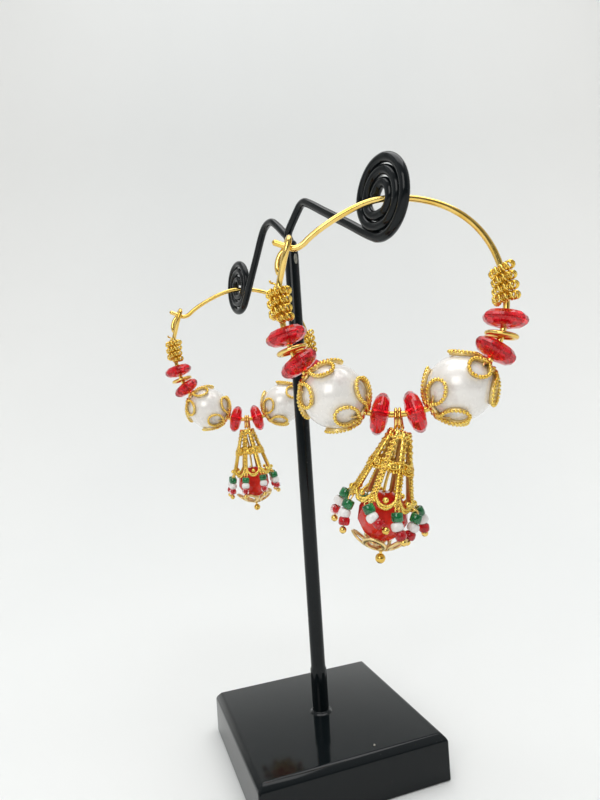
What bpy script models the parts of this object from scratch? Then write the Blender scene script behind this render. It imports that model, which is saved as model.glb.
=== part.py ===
"""A pair of jhumka hoop earrings hanging on a black wire display stand.

Lengths are in metres. The stand rests on the XY plane with its post on the Z axis, its two arms
lie in the XZ plane, the front earring hangs at +X and the back one at -X. In an earring's own
frame X runs to the right along the hoop, Y away from the viewer and Z up, from the hoop's top.
"""
import math

import bmesh
import bpy
from mathutils import Matrix, Vector

MM = 0.001
CLEAR = 0.3 * MM                # gap that neighbouring pieces keep
WELD = 0.001 * MM               # points closer than this are one point

# Stand
BASE_SIDE = 43.6 * MM
BASE_HEIGHT = 10.3 * MM
BASE_CHAMFER_IN = 1.75 * MM
BASE_CHAMFER_DROP = 1.4 * MM
BASE_TURN = math.radians(-6.8)
POST_WIDTH = 3.5 * MM
POST_TOP = 125.5 * MM
POST_TAPER = 3.0 * MM
POST_TIP_WIDTH = 2.9 * MM
POST_SEAT_DEPTH = 6.0 * MM
POST_SIDES = 12
ARM_WIRE = 2.0 * MM
ARM_ROOT = POST_TOP - 3.0 * MM
ARM_STAGGER = 0.2 * MM          # the arms lie this far to either side of the post's middle
SPIRAL_EYE = 2.8 * MM           # radius of the innermost turn
SPIRAL_PITCH = 2.14 * MM
SPIRAL_TURNS = 2.25             # counted from the bottom, before the hook
SPIRAL_STEPS = 13               # points in one turn
HOOP_SEAT_OUT = 0.45 * MM       # where a hoop rests, from the spiral's centre
HOOP_SEAT_DOWN = 0.35 * MM

# Each arm in the XZ plane: knee beside the post, crest corner and the bend there, spiral centre
ARMS = {
    "front": {"side": 1, "knee_out": -1.3 * MM, "knee_up": POST_TOP + 2.0 * MM, "crest_out": 8.0 * MM,
              "crest_up": POST_TOP + 7.3 * MM, "bend": 4.0 * MM, "spiral_out": 39.8 * MM,
              "spiral_up": POST_TOP - 3.3 * MM},
    "back": {"side": -1, "knee_out": 1.0 * MM, "knee_up": POST_TOP + 0.9 * MM, "crest_out": 13.8 * MM,
             "crest_up": POST_TOP + 11.2 * MM, "bend": 7.0 * MM, "spiral_out": 38.5 * MM,
             "spiral_up": POST_TOP - 3.3 * MM},
}
KNEE_BEND = 2.0 * MM
# Inner end of the spiral, a hook: places from the spiral's centre in wire diameters
SPIRAL_HOOK = [(1.4, 0.0), (1.32, 0.5), (1.02, 0.98), (0.42, 1.3), (-0.28, 1.22), (-0.85, 0.78), (-1.28, 0.28)]

# Hoop
HOOP_HALF_WIDTH = 20.6 * MM
HOOP_HALF_HEIGHT = 19.93 * MM
HOOP_WIRE = 1.2 * MM
HOOP_STEP = 3.45 * MM
# Where the wire leaves its oval: direction from the bottom, spread and distance outwards
HOOP_BENDS = [(135, 45, 0.55 * MM), (208, 30, -0.62 * MM), (-115, 28, 0.9 * MM), (-68, 40, -0.6 * MM)]
EYE_LEAN = math.radians(19)     # the eye's stem leans from the vertical by this
EYE_STEM_UP = 6.0 * MM          # the stem leaves the round of the hoop this far above its middle
EYE_HEIGHT = 8.6 * MM
PIN_CUT = 15.4 * MM             # the pin leaves the round this far left of the top
PIN_DIP = 2.0 * MM
PIN_REACH = 5.9 * MM
PIN_RISE = 1.0 * MM

# What is strung on the hoop
COIL_LENGTH = 8.2 * MM
COIL_TURNS = 4
COIL_STRAND = 1.45 * MM
COIL_STEPS = 8
SAUCER_WIDTH = 8.0 * MM
SAUCER_THICKNESS = 3.3 * MM
SAUCER_EDGE = 0.6 * MM
SAUCER_TABLE = 3.4 * MM
SAUCER_BORE = HOOP_WIRE + 2 * CLEAR + 0.4 * MM
SAUCER_TILTS = {"upper": 0.0, "lower": math.radians(-7), "inner": math.radians(6)}     # towards the pearl
BEAD_SIDES = 12
RING_WIDTH = 6.1 * MM
RING_THICKNESS = 0.9 * MM
RING_TILT = math.radians(6)
PEARL_WIDTH = 12.0 * MM
CAP_WIRE = 0.8 * MM
CAP_HUB_WIDTH = 4.2 * MM
CAP_HUB_THICKNESS = 0.5 * MM
CAP_REACH = math.radians(72)    # a petal's tip, as an angle from the pole
PETAL_COUNT = 5
PETAL_WIDTH = 4.5 * MM
LOOP_ROOM = 3.1 * MM            # bare hoop left between the inner saucers
STRING_SLACK = 0.92 * MM       # between an inner saucer and the pearl's cap
TILT_ROOM = 0.97 * MM           # between a cap and the saucer that tilts towards it
RING_SLACK = 0.9 * MM
COIL_SLACK = 0.55 * MM
# Half of a petal's outline: along it from hub to tip, and across it from its middle line
PETAL_OUTLINE = [(0.42, 0.66), (0.74, 1.0), (0.97, 0.50)]
# First petal's direction on each pearl cap, from the viewer's side towards the hoop's outside
CAP_TURNS = {"left_outer": -36, "left_inner": 22, "right_inner": -28, "right_outer": -10}

# Drop
LOOP_WIRE = 0.6 * MM
LOOP_TURNS = 2
LOOP_STEPS = 8
LOOP_PITCH = 0.7 * MM
BELL_LENGTH = 13.5 * MM
BELL_TOP_WIDTH = 4.6 * MM
BELL_RIM_WIDTH = 12.2 * MM
BELL_WALL = 0.7 * MM
BELL_RIBS = 8
RIB_WIDTH = 1.2 * MM
RIB_TURN = math.radians(27)     # direction of the first rib from the viewer's side
COLLAR_HEIGHT = 1.5 * MM
BAND_PLACE = 5.7 * MM
BAND_HEIGHT = 1.7 * MM
RIM_HEIGHT = 1.7 * MM
BEAD_WIDTH = 9.4 * MM
BEAD_SEAT = 11.5 * MM           # the centre bead's top, below the top of the bell
BEAD_TABLE = 3.4 * MM
CUP_DROP = 0.9 * MM             # the bottom cap hangs this far below the centre bead
CUP_WIRE = 0.6 * MM
CUP_REACH = math.radians(57)
CUP_PETAL_WIDTH = 4.4 * MM
CUP_HUB_WIDTH = 3.2 * MM
CUP_TURN = -20
BALL_WIDTH = 1.9 * MM
SEED_WIDTH = 2.15 * MM
SEED_HEIGHT = 1.65 * MM
SEED_BALL = 1.25 * MM
SEED_SIDES = 8
DANGLE_STANDOFF = 0.8 * MM      # from the centre bead to the seed beads

# How each drop hangs: bell top from the hoop's lowest point, and leans to the left
DROPS = {
    "front": {"top_right": 0.4 * MM, "top_down": 2.85 * MM, "bell_lean": 19.0, "bead_lean": 7.0},
    "back": {"top_right": -0.15 * MM, "top_down": 2.95 * MM, "bell_lean": -4.0, "bead_lean": -4.0},
}
# Lean of each dangle in degrees: away from the bell, and round it to the right
DANGLES = {
    "front": [(9, 5), (2, 0), (14, 0), (10, 0), (12, 0), (25, 0), (14, 0), (2, 28)],
    "back": [(8, 0), (12, 4), (10, 0), (14, 0), (10, -5), (12, 0), (8, 5), (10, 0)],
}
# Direction in which each hoop's right side points
HOOP_TURNS = {"front": math.radians(56.2), "back": math.radians(68.0)}

FINISHES = {
    "black_acrylic": ((0.01, 0.01, 0.012), 0.08, 0.0),
    "black_enamel": ((0.012, 0.012, 0.012), 0.15, 0.0),
    "gold": ((0.83, 0.60, 0.20), 0.25, 1.0),
    "red_glass": ((0.62, 0.02, 0.04), 0.08, 0.0),
    "pearl": ((0.86, 0.84, 0.80), 0.18, 0.0),
    "seed_beads": ((0.50, 0.30, 0.22), 0.15, 0.0),
}


# Meshes and objects

def clear_scene():
    for item in list(bpy.data.objects):
        bpy.data.objects.remove(item, do_unlink=True)


def weld(mesh):
    """Join coincident points and turn all faces outwards."""
    work = bmesh.new()
    work.from_mesh(mesh)
    bmesh.ops.remove_doubles(work, verts=work.verts, dist=WELD)
    bmesh.ops.dissolve_degenerate(work, dist=WELD, edges=work.edges)
    bmesh.ops.recalc_face_normals(work, faces=work.faces)
    work.to_mesh(mesh)
    work.free()
    return mesh


def holder_for(data):
    """Object that carries a mesh or curve while modifiers are worked out."""
    holder = bpy.data.objects.new(data.name, data)
    bpy.context.scene.collection.objects.link(holder)
    return holder


def baked(holder):
    """Mesh of an object as its modifiers leave it; the object is removed."""
    bpy.context.view_layer.update()
    seen = holder.evaluated_get(bpy.context.evaluated_depsgraph_get())
    mesh = bpy.data.meshes.new_from_object(seen)
    mesh.transform(holder.matrix_world)
    bpy.data.objects.remove(holder, do_unlink=True)
    return weld(mesh)


def tube(points, width, sides=6, closed=False):
    """Round wire along a row of points."""
    curve = bpy.data.curves.new("wire", "CURVE")
    curve.dimensions = "3D"
    curve.bevel_depth = width / 2
    curve.bevel_resolution = (sides - 4) // 2
    curve.use_fill_caps = not closed
    spline = curve.splines.new("POLY")
    spline.points.add(len(points) - 1)
    for slot, point in zip(spline.points, points):
        slot.co = (*point, 1.0)
    spline.use_cyclic_u = closed
    return baked(holder_for(curve))


def turned(profile, sides):
    """Body of revolution about Z of a profile that runs down its outer side."""
    outline = bpy.data.meshes.new("profile")
    corners = [(radius, 0, height) for radius, height in profile]
    edges = [(i, i + 1) for i in range(len(profile) - 1)]
    if profile[-1][0] > 0:
        edges.append((len(profile) - 1, 0))
    outline.from_pydata(corners, edges, [])
    holder = holder_for(outline)
    screw = holder.modifiers.new("turn", "SCREW")
    screw.steps = sides
    screw.render_steps = sides
    screw.use_merge_vertices = True
    screw.merge_threshold = WELD
    return baked(holder)


def combined(meshes, operation="UNION"):
    """First mesh joined with the others, or cut by them."""
    holders = [holder_for(mesh) for mesh in meshes]
    for other in holders[1:]:
        step = holders[0].modifiers.new("step", "BOOLEAN")
        step.operation = operation
        step.solver = "EXACT"
        step.object = other
    mesh = baked(holders[0])
    for other in holders[1:]:
        bpy.data.objects.remove(other, do_unlink=True)
    return mesh


def moved(mesh, matrix):
    copy = mesh.copy()
    copy.transform(matrix)
    return copy


def add_empty(name, matrix, parent=None):
    empty = bpy.data.objects.new(name, None)
    PARTS.objects.link(empty)
    empty.parent = parent
    empty.matrix_local = matrix
    return empty


def add_piece(name, mesh, finish, parent=None, matrix=None, smooth=True):
    """Named piece of the object with its finish, placed in its parent's frame."""
    piece = bpy.data.objects.new(name, mesh)
    PARTS.objects.link(piece)
    piece.parent = parent
    piece.matrix_local = matrix or Matrix()
    if not mesh.materials:
        mesh.materials.append(MATERIALS[finish])
        if smooth:
            mesh.shade_smooth()
            mesh.set_sharp_from_angle(angle=math.radians(40))
    return piece


def make_material(name, color, roughness, metallic):
    material = bpy.data.materials.new(name)
    material.use_nodes = True
    shader = material.node_tree.nodes["Principled BSDF"]
    shader.inputs["Base Color"].default_value = (*color, 1.0)
    shader.inputs["Roughness"].default_value = roughness
    shader.inputs["Metallic"].default_value = metallic
    return material


# Stand

def base_mesh():
    """Square foot with a chamfered top and a blind seat for the post."""
    block = bpy.data.meshes.new("base")
    work = bmesh.new()
    side_height = BASE_HEIGHT - BASE_CHAMFER_DROP
    bmesh.ops.create_cube(work, size=1.0)
    bmesh.ops.scale(work, verts=work.verts, vec=(BASE_SIDE, BASE_SIDE, side_height))
    bmesh.ops.translate(work, verts=work.verts, vec=(0, 0, side_height / 2))
    work.normal_update()
    top = [face for face in work.faces if face.normal.z > 0.5]
    bmesh.ops.inset_region(work, faces=top, thickness=BASE_CHAMFER_IN)
    bmesh.ops.translate(work, verts=top[0].verts, vec=(0, 0, BASE_CHAMFER_DROP))
    work.to_mesh(block)
    work.free()
    seat = turned(rod_profile(POST_WIDTH / 2 + CLEAR, BASE_HEIGHT - POST_SEAT_DEPTH, BASE_HEIGHT * 2), POST_SIDES)
    return combined([weld(block), seat], "DIFFERENCE")


def rod_profile(radius, low, high):
    return [(0, high), (radius, high), (radius, low), (0, low)]


def fillet(before, corner, after, radius, steps=4):
    """Points of a round bend at a corner of a wire in the XZ plane."""
    back = (before - corner).normalized()
    ahead = (after - corner).normalized()
    half = back.angle(ahead) / 2
    centre = corner + (back + ahead).normalized() * radius / math.sin(half)
    start = corner + back * radius / math.tan(half) - centre
    end = corner + ahead * radius / math.tan(half) - centre
    bend = start.angle(end)
    points = []
    for step in range(steps + 1):
        share = step / steps
        mix = start * math.sin((1 - share) * bend) + end * math.sin(share * bend)
        points.append(centre + mix / math.sin(bend))
    return points


def spiral_radius(turns):
    """Centre line radius after some turns; each step inwards takes a turn's last quarter."""
    whole = math.floor(turns)
    share = min(max((turns - whole - 0.7) / 0.3, 0.0), 1.0)
    eased = share * share * (3 - 2 * share)
    return SPIRAL_EYE + SPIRAL_PITCH * (2 - whole - eased)


def arm_points(arm):
    """Centre line of one arm, from inside the post to the hook in its spiral."""
    side = arm["side"]
    root = Vector((0, 0, ARM_ROOT))
    knee = Vector((arm["knee_out"], 0, arm["knee_up"]))
    crest = Vector((arm["crest_out"], 0, arm["crest_up"]))
    centre = Vector((arm["spiral_out"], 0, arm["spiral_up"]))
    reach = centre - crest
    outer = spiral_radius(0)
    entry = math.atan2(reach.z, reach.x) - math.asin(outer / reach.length) - math.pi / 2
    touch = centre + Vector((math.cos(entry), 0, math.sin(entry))) * outer
    points = [root]
    points += fillet(root, knee, crest, KNEE_BEND, 2)
    points += fillet(knee, crest, touch, arm["bend"])
    points.append(touch)
    first = entry / (2 * math.pi) + 0.25
    for step in range(1, int((SPIRAL_TURNS - first) * SPIRAL_STEPS)):
        turns = first + step / SPIRAL_STEPS
        angle = 2 * math.pi * (turns - 0.25)
        around = Vector((math.cos(angle), 0, math.sin(angle)))
        points.append(centre + around * spiral_radius(max(turns, 0.0)))
    points += [centre + Vector((out, 0, up)) * ARM_WIRE for out, up in SPIRAL_HOOK]
    return [(point.x * side, -ARM_STAGGER * side, point.z) for point in points]


def frame_mesh():
    """Post and both arms, brazed into one piece."""
    foot = BASE_HEIGHT - POST_SEAT_DEPTH + CLEAR
    shoulder = POST_TOP - POST_TAPER
    profile = [(0, POST_TOP), (POST_TIP_WIDTH / 2, POST_TOP), (POST_WIDTH / 2, shoulder), (POST_WIDTH / 2, foot)]
    post = turned(profile + [(0, foot)], POST_SIDES)
    arms = [tube(arm_points(arm), ARM_WIRE) for arm in ARMS.values()]
    return combined([post, *arms])


# Hoop

def hoop_place(arc):
    """Point, direction along the wire and outward direction at a distance from the hoop's bottom."""
    angle = 0.0
    travelled = 0.0
    step = math.radians(0.1)
    while travelled < abs(arc):
        travelled += step * math.hypot(HOOP_HALF_WIDTH * math.cos(angle), HOOP_HALF_HEIGHT * math.sin(angle))
        angle += step
    angle = math.copysign(angle, arc)
    return ellipse_place(angle)


def oval_point(angle):
    """Point of the hoop's centre line: an oval with the wire's own slight bends."""
    point = Vector((HOOP_HALF_WIDTH * math.sin(angle), 0, -HOOP_HALF_HEIGHT * (1 + math.cos(angle))))
    for centre, spread, out in HOOP_BENDS:
        away = (math.degrees(angle) - centre) / spread
        if abs(away) < 1:
            share = (1 + math.cos(math.pi * away)) / 2
            point += Vector((math.sin(angle), 0, -math.cos(angle))) * out * share
    return point


def ellipse_place(angle):
    point = oval_point(angle)
    step = math.radians(1)
    along = (oval_point(angle + step) - oval_point(angle - step)).normalized()
    outward = Vector((along.z, 0, -along.x))
    return point, along, outward


def strung_matrix(arc):
    """Frame of a bead on the hoop: Z along the wire, X towards the viewer, Y outwards."""
    point, along, outward = hoop_place(arc)
    toward = outward.cross(along)
    matrix = Matrix((toward, outward, along)).transposed().to_4x4()
    matrix.translation = point
    return matrix


def hoop_points():
    """Wire from the folded end of the eye, round the hoop, to the tip of the pin."""
    wire = HOOP_WIRE
    stem = math.acos(max(-1.0, -EYE_STEM_UP / HOOP_HALF_HEIGHT))
    foot = ellipse_place(-stem)[0]
    up = Vector((math.sin(EYE_LEAN), 0, math.cos(EYE_LEAN)))
    left = Vector((-math.cos(EYE_LEAN), 0, math.sin(EYE_LEAN)))
    behind = Vector((0, 1, 0))
    eye_radius = wire + CLEAR
    middle = foot + up * (EYE_HEIGHT - eye_radius)
    points = [
        foot + up * 0.20 * EYE_HEIGHT + left * 1.05 * wire + behind * 0.8 * wire,
        foot + up * 0.34 * EYE_HEIGHT + left * 1.40 * wire + behind * 0.95 * wire,
        foot + up * 0.58 * EYE_HEIGHT + left * 1.35 * wire + behind * eye_radius,
    ]
    for step in range(6):
        angle = math.pi * step / 5
        aside = left * 0.4 * wire * (1 + math.cos(angle))
        points.append(middle + aside + behind * eye_radius * math.cos(angle) + up * eye_radius * math.sin(angle))
    points.append(foot + up * 0.50 * EYE_HEIGHT - behind * 0.85 * eye_radius)
    points.append(foot + up * 0.25 * EYE_HEIGHT - behind * 0.35 * eye_radius)
    cut = math.pi + math.asin(PIN_CUT / HOOP_HALF_WIDTH)
    count = round((stem + cut) * HOOP_HALF_WIDTH / HOOP_STEP)
    for step in range(count + 1):
        points.append(ellipse_place(-stem + (stem + cut) * step / count)[0])
    end = ellipse_place(cut)[0]
    points.append(end + Vector((-PIN_DIP, 0, -0.35 * PIN_DIP)))
    points.append(middle + left * 0.1 * wire - up * 0.15 * wire)
    points.append(end + Vector((-PIN_REACH, 0, PIN_RISE)))
    return points


def coil_points(arc):
    """Centre line of the strand wound round the hoop."""
    reach = HOOP_WIRE / 2 + CLEAR + COIL_STRAND / 2
    steps = COIL_TURNS * COIL_STEPS
    run = COIL_LENGTH - COIL_STRAND
    points = []
    for step in range(steps + 1):
        point, along, outward = hoop_place(arc + run * (step / steps - 0.5))
        angle = 2 * math.pi * step / COIL_STEPS
        points.append(point + (outward * math.cos(angle) + Vector((0, math.sin(angle), 0))) * reach)
    return points


def saucer_mesh():
    """Cut saucer bead with a flat table round its bore."""
    bore = SAUCER_BORE / 2
    half = SAUCER_THICKNESS / 2
    table = SAUCER_TABLE / 2
    edge = SAUCER_EDGE / 2
    rim = SAUCER_WIDTH / 2
    return turned([(bore, half), (table, half), (rim, edge), (rim, -edge), (table, -half), (bore, -half)], BEAD_SIDES)


def ring_mesh():
    """Spacer ring with a round section."""
    section = RING_THICKNESS / 2
    middle = RING_WIDTH / 2 - section
    corners = [math.radians(126 - 72 * corner) for corner in range(5)]
    return turned([(middle + section * math.cos(a), section * math.sin(a)) for a in corners], BEAD_SIDES)


def pearl_bow():
    """How far the curved hoop wanders from a straight line inside a pearl and its caps."""
    return cap_height() ** 2 / (2 * HOOP_HALF_HEIGHT)


def pearl_bore():
    return HOOP_WIRE / 2 + pearl_bow() / 2 + CLEAR


def pearl_mesh():
    radius = PEARL_WIDTH / 2
    mouth = math.asin(pearl_bore() / radius)
    angles = [mouth + (math.pi - 2 * mouth) * row / 6 for row in range(7)]
    return turned([(radius * math.sin(a), radius * math.cos(a)) for a in angles], BEAD_SIDES)


def petal_points(sphere, reach, start, width, turn):
    """Closed loop of one petal on a sphere about the origin, the pole at +Z."""
    outline = [(0.0, 0.0)] + PETAL_OUTLINE + [(along, -across) for along, across in reversed(PETAL_OUTLINE)]
    points = []
    for along, across in outline:
        polar = start + (reach - start) * along
        angle = turn + across * width / 2 / (sphere * math.sin(polar))
        side = Vector((math.cos(angle), math.sin(angle), 0))
        points.append((side * math.sin(polar) + Vector((0, 0, math.cos(polar)))) * sphere)
    return points


def cap_mesh(inner, wire, reach, width, hub_bore, hub_width, hub_thickness):
    """Cap of looped petals round a hub, clear of the bead inside it."""
    sphere = inner + CLEAR + wire / 2
    start = math.asin((hub_width / 2 - wire / 4) / sphere)
    hub_top = sphere * math.cos(start) + wire / 4
    hub_low = hub_top - hub_thickness
    hub = turned([(hub_bore, hub_top), (hub_width / 2, hub_top), (hub_width / 2, hub_low), (hub_bore, hub_low)],
                 2 * PETAL_COUNT)
    loops = []
    for petal in range(PETAL_COUNT):
        turn = 2 * math.pi * petal / PETAL_COUNT
        points = petal_points(sphere, reach, start, width - wire, turn)
        loops.append(tube(points, wire, 4, closed=True))
    return combined([hub, *loops])


def pearl_cap_mesh():
    return cap_mesh(PEARL_WIDTH / 2, CAP_WIRE, CAP_REACH, PETAL_WIDTH, pearl_bore(), CAP_HUB_WIDTH,
                    CAP_HUB_THICKNESS)


def cap_height():
    """How far a pearl with its cap reaches along the hoop from the pearl's middle."""
    return PEARL_WIDTH / 2 + CLEAR + CAP_WIRE


def string_places():
    """Distance of each strung piece from the hoop's lowest point, stacked outwards."""
    half = SAUCER_THICKNESS / 2
    inner = LOOP_ROOM / 2 + half
    pearl = inner + half + STRING_SLACK + cap_height() - CAP_WIRE / 2
    lower = pearl + cap_height() - CAP_WIRE / 2 + TILT_ROOM + half
    ring = lower + half + RING_SLACK + RING_THICKNESS / 2
    upper = 2 * ring - lower
    coil = upper + half + COIL_SLACK + COIL_LENGTH / 2
    return {"inner": inner, "pearl": pearl, "lower": lower, "ring": ring, "upper": upper, "coil": coil}


# Drop

def bell_rows():
    """Distance down the bell and outer radius of each of its rings of points, from the top."""
    top = BELL_TOP_WIDTH / 2
    slope = (BELL_RIM_WIDTH / 2 - top) / (BELL_LENGTH - COLLAR_HEIGHT)
    places = [COLLAR_HEIGHT, BAND_PLACE, BAND_PLACE + BAND_HEIGHT, BELL_LENGTH - RIM_HEIGHT, BELL_LENGTH]
    cone = [(place, top + slope * (place - COLLAR_HEIGHT)) for place in places]
    return [(0.0, LOOP_WIRE / 2 + CLEAR), (0.0, top)] + cone


def bell_mesh():
    """Pierced bell: ribs joined by a collar, a middle band and a rim."""
    rows = bell_rows()
    pierced = (2, 4)
    columns = 2 * BELL_RIBS
    work = bmesh.new()
    bmesh.ops.create_grid(work, x_segments=columns, y_segments=len(rows) - 1, size=0.5)
    places = {}
    for vert in work.verts:
        places[vert.index] = (round((vert.co.x + 0.5) * columns), round((0.5 - vert.co.y) * (len(rows) - 1)))
    gaps = []
    for face in work.faces:
        column = min(places[vert.index][0] for vert in face.verts)
        row = min(places[vert.index][1] for vert in face.verts)
        if column % 2 and row in pierced:
            gaps.append(face)
    for vert in work.verts:
        column, row = places[vert.index]
        down, radius = rows[row]
        half = min(math.asin(min(RIB_WIDTH / 2 / radius, 1.0)), 0.7 * math.pi / BELL_RIBS)
        rib = 2 * math.pi * (column // 2) / BELL_RIBS
        angle = rib + (half if column % 2 else -half)
        vert.co = (radius * math.cos(angle), radius * math.sin(angle), -down)
    bmesh.ops.delete(work, geom=gaps, context="FACES")
    bmesh.ops.remove_doubles(work, verts=work.verts, dist=WELD)
    bmesh.ops.recalc_face_normals(work, faces=work.faces)
    shell = bpy.data.meshes.new("bell")
    work.to_mesh(shell)
    work.free()
    holder = holder_for(shell)
    wall = holder.modifiers.new("wall", "SOLIDIFY")
    wall.thickness = BELL_WALL
    wall.offset = -1
    wall.use_even_offset = True
    return baked(holder)


def bead_mesh():
    """Round centre bead, cut with a table at each pole."""
    radius = BEAD_WIDTH / 2
    bore = LOOP_WIRE / 2 + CLEAR
    table = BEAD_TABLE / 2
    pole = math.sqrt(radius ** 2 - table ** 2)
    half = [(bore, pole), (table, pole), (0.78 * radius, 0.62 * radius), (radius, 0.2 * radius)]
    return turned(half + [(r, -h) for r, h in reversed(half)], BEAD_SIDES)


def cup_mesh():
    """Bottom cap that cups the centre bead, opening along +Z."""
    return cap_mesh(BEAD_WIDTH / 2 + CUP_DROP, CUP_WIRE, CUP_REACH, CUP_PETAL_WIDTH,
                    LOOP_WIRE / 2 + CLEAR, CUP_HUB_WIDTH, CUP_WIRE)


def ball_place():
    """Middle of the ball that ends the head pin, from the centre bead's middle."""
    return BEAD_WIDTH / 2 + CUP_DROP + 2 * CLEAR + 1.25 * CUP_WIRE + BALL_WIDTH / 2


def lean_down(degrees):
    """Direction down a line that leans to the left."""
    angle = math.radians(degrees)
    return Vector((-math.sin(angle), 0, -math.cos(angle)))


def head_pin_mesh(drop):
    """Wire in two turns round the hoop, down through bell and bead, with its end ball."""
    reach = HOOP_WIRE / 2 + CLEAR + LOOP_WIRE / 2
    bell_top, bead_top, bead_middle = drop_places(drop)
    steps = LOOP_TURNS * LOOP_STEPS - 1
    points = []
    for step in range(steps + 1):
        angle = 2 * math.pi * (step + 0.5) / LOOP_STEPS
        across = LOOP_PITCH * (step / LOOP_STEPS - LOOP_TURNS / 2)
        points.append(Vector((across, -reach * math.sin(angle), -reach * math.cos(angle))))
    points.append(bell_top - lean_down(drop["bell_lean"]) * 0.3 * (drop["top_down"] - reach))
    points.append(bead_top)
    points.append(bead_middle + lean_down(drop["bead_lean"]) * ball_place())
    wire = tube(points, LOOP_WIRE)
    ball = bpy.data.meshes.new("ball")
    work = bmesh.new()
    bmesh.ops.create_uvsphere(work, u_segments=8, v_segments=6, radius=BALL_WIDTH / 2)
    work.to_mesh(ball)
    work.free()
    return combined([wire, moved(ball, Matrix.Translation(points[-1]))])


def drop_places(drop):
    """Top of the bell, top of the centre bead and its middle, from the hoop's lowest point."""
    bell_top = Vector((drop["top_right"], 0, -drop["top_down"]))
    bead_top = bell_top + lean_down(drop["bell_lean"]) * BEAD_SEAT
    bead_middle = bead_top + lean_down(drop["bead_lean"]) * BEAD_WIDTH / 2
    return bell_top, bead_top, bead_middle


def leaning_matrix(place, degrees):
    """Frame at a place whose Z axis leans to the left going down, X towards the viewer."""
    up = -lean_down(degrees)
    toward = Vector((0, -1, 0))
    matrix = Matrix((toward, up.cross(toward), up)).transposed().to_4x4()
    matrix.translation = place
    return matrix


def dangle_mesh():
    """Seed beads strung under each other with a ball at the end, hanging from the origin."""
    seed = SEED_WIDTH / 2
    waist = 0.65 * seed
    ball = SEED_BALL / 2
    step = SEED_HEIGHT
    profile = [(0, 0), (0.9 * seed, -0.06 * step), (seed, -0.94 * step), (waist, -1.04 * step),
               (seed, -1.5 * step), (waist, -2.02 * step), (seed, -2.5 * step), (0.5 * ball, -3 * step)]
    end = -3 * step - ball
    return turned(profile + [(ball, end), (0, end - ball)], SEED_SIDES)


def dangle_matrix(drop, index, lean_out, lean_round):
    """Place of a dangle below the foot of a rib, hanging nearly straight down."""
    bell_top, bead_top, bead_middle = drop_places(drop)
    bell = leaning_matrix(bell_top, drop["bell_lean"])
    angle = RIB_TURN + 2 * math.pi * index / BELL_RIBS
    reach = max(BEAD_WIDTH / 2 + DANGLE_STANDOFF + SEED_WIDTH / 2, BELL_RIM_WIDTH / 2)
    outward = Vector((math.sin(angle), -math.cos(angle), 0))
    onward = Vector((math.cos(angle), math.sin(angle), 0))
    tilt = outward * math.tan(math.radians(lean_out)) + onward * math.tan(math.radians(lean_round))
    up = (Vector((0, 0, 1)) - tilt).normalized()
    side = onward.cross(up).normalized()
    below = BELL_LENGTH + CLEAR + SEED_WIDTH / 2 * math.sin(up.angle(bell.col[2].xyz))
    place = bell @ Vector((reach * math.cos(angle), reach * math.sin(angle), -below))
    matrix = Matrix((up.cross(side), side, up)).transposed().to_4x4()
    matrix.translation = place
    return matrix


# Assembly

def build_stand():
    add_piece("stand_base", base_mesh(), "black_acrylic", matrix=Matrix.Rotation(BASE_TURN, 4, "Z"), smooth=False)
    add_piece("stand_frame", frame_mesh(), "black_enamel")


def build_hoop(side, hoop):
    """The hoop of one earring and what is strung on it."""
    places = string_places()
    add_piece(f"{side}_hoop_wire", tube(hoop_points(), HOOP_WIRE), "gold", hoop)
    add_piece(f"{side}_coil_left", tube(coil_points(-places["coil"]), COIL_STRAND), "gold", hoop)
    add_piece(f"{side}_coil_right", tube(coil_points(places["coil"]), COIL_STRAND), "gold", hoop)
    for end, hand in (("left", -1), ("right", 1)):
        for level in ("upper", "lower", "inner"):
            matrix = strung_matrix(hand * places[level]) @ Matrix.Rotation(hand * SAUCER_TILTS[level], 4, "X")
            add_piece(f"{side}_saucer_{end}_{level}", SHARED["saucer"], "red_glass", hoop, matrix)
        tilt = Matrix.Rotation(hand * RING_TILT, 4, "X")
        matrix = strung_matrix(hand * places["ring"]) @ tilt
        add_piece(f"{side}_ring_{end}", SHARED["ring"], "gold", hoop, matrix)
        pearl = strung_matrix(hand * places["pearl"]) @ Matrix.Translation((0, -pearl_bow() / 2, 0))
        add_piece(f"{side}_pearl_{end}", SHARED["pearl"], "pearl", hoop, pearl)
        for cap, pole in (("inner", -hand), ("outer", hand)):
            turn = math.radians(CAP_TURNS[f"{end}_{cap}"])
            spin = Matrix.Rotation(turn, 4, "Z")
            facing = Matrix.Rotation(0.0 if pole > 0 else math.pi, 4, "X")
            add_piece(f"{side}_cap_{end}_{cap}", SHARED["pearl_cap"], "gold", hoop, pearl @ spin @ facing)


def build_drop(side, hoop):
    """The hanging drop of one earring, carried by an empty on its swing axis."""
    drop = DROPS[side]
    bell_top, bead_top, bead_middle = drop_places(drop)
    pivot = add_empty(f"{side}_drop_pivot", Matrix.Translation(hoop_place(0)[0]), hoop)
    add_piece(f"{side}_head_pin", head_pin_mesh(drop), "gold", pivot)
    bell = leaning_matrix(bell_top, drop["bell_lean"]) @ Matrix.Rotation(RIB_TURN, 4, "Z")
    add_piece(f"{side}_bell", SHARED["bell"], "gold", pivot, bell)
    bead = leaning_matrix(bead_middle, drop["bead_lean"])
    add_piece(f"{side}_centre_bead", SHARED["bead"], "red_glass", pivot, bead)
    cup = bead @ Matrix.Rotation(math.radians(CUP_TURN), 4, "Z") @ Matrix.Rotation(math.pi, 4, "X")
    add_piece(f"{side}_bottom_cap", SHARED["cup"], "gold", pivot, cup)
    for index, leans in enumerate(DANGLES[side]):
        matrix = dangle_matrix(drop, index, *leans)
        add_piece(f"{side}_dangle_{index + 1}", SHARED["dangle"], "seed_beads", pivot, matrix)


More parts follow.
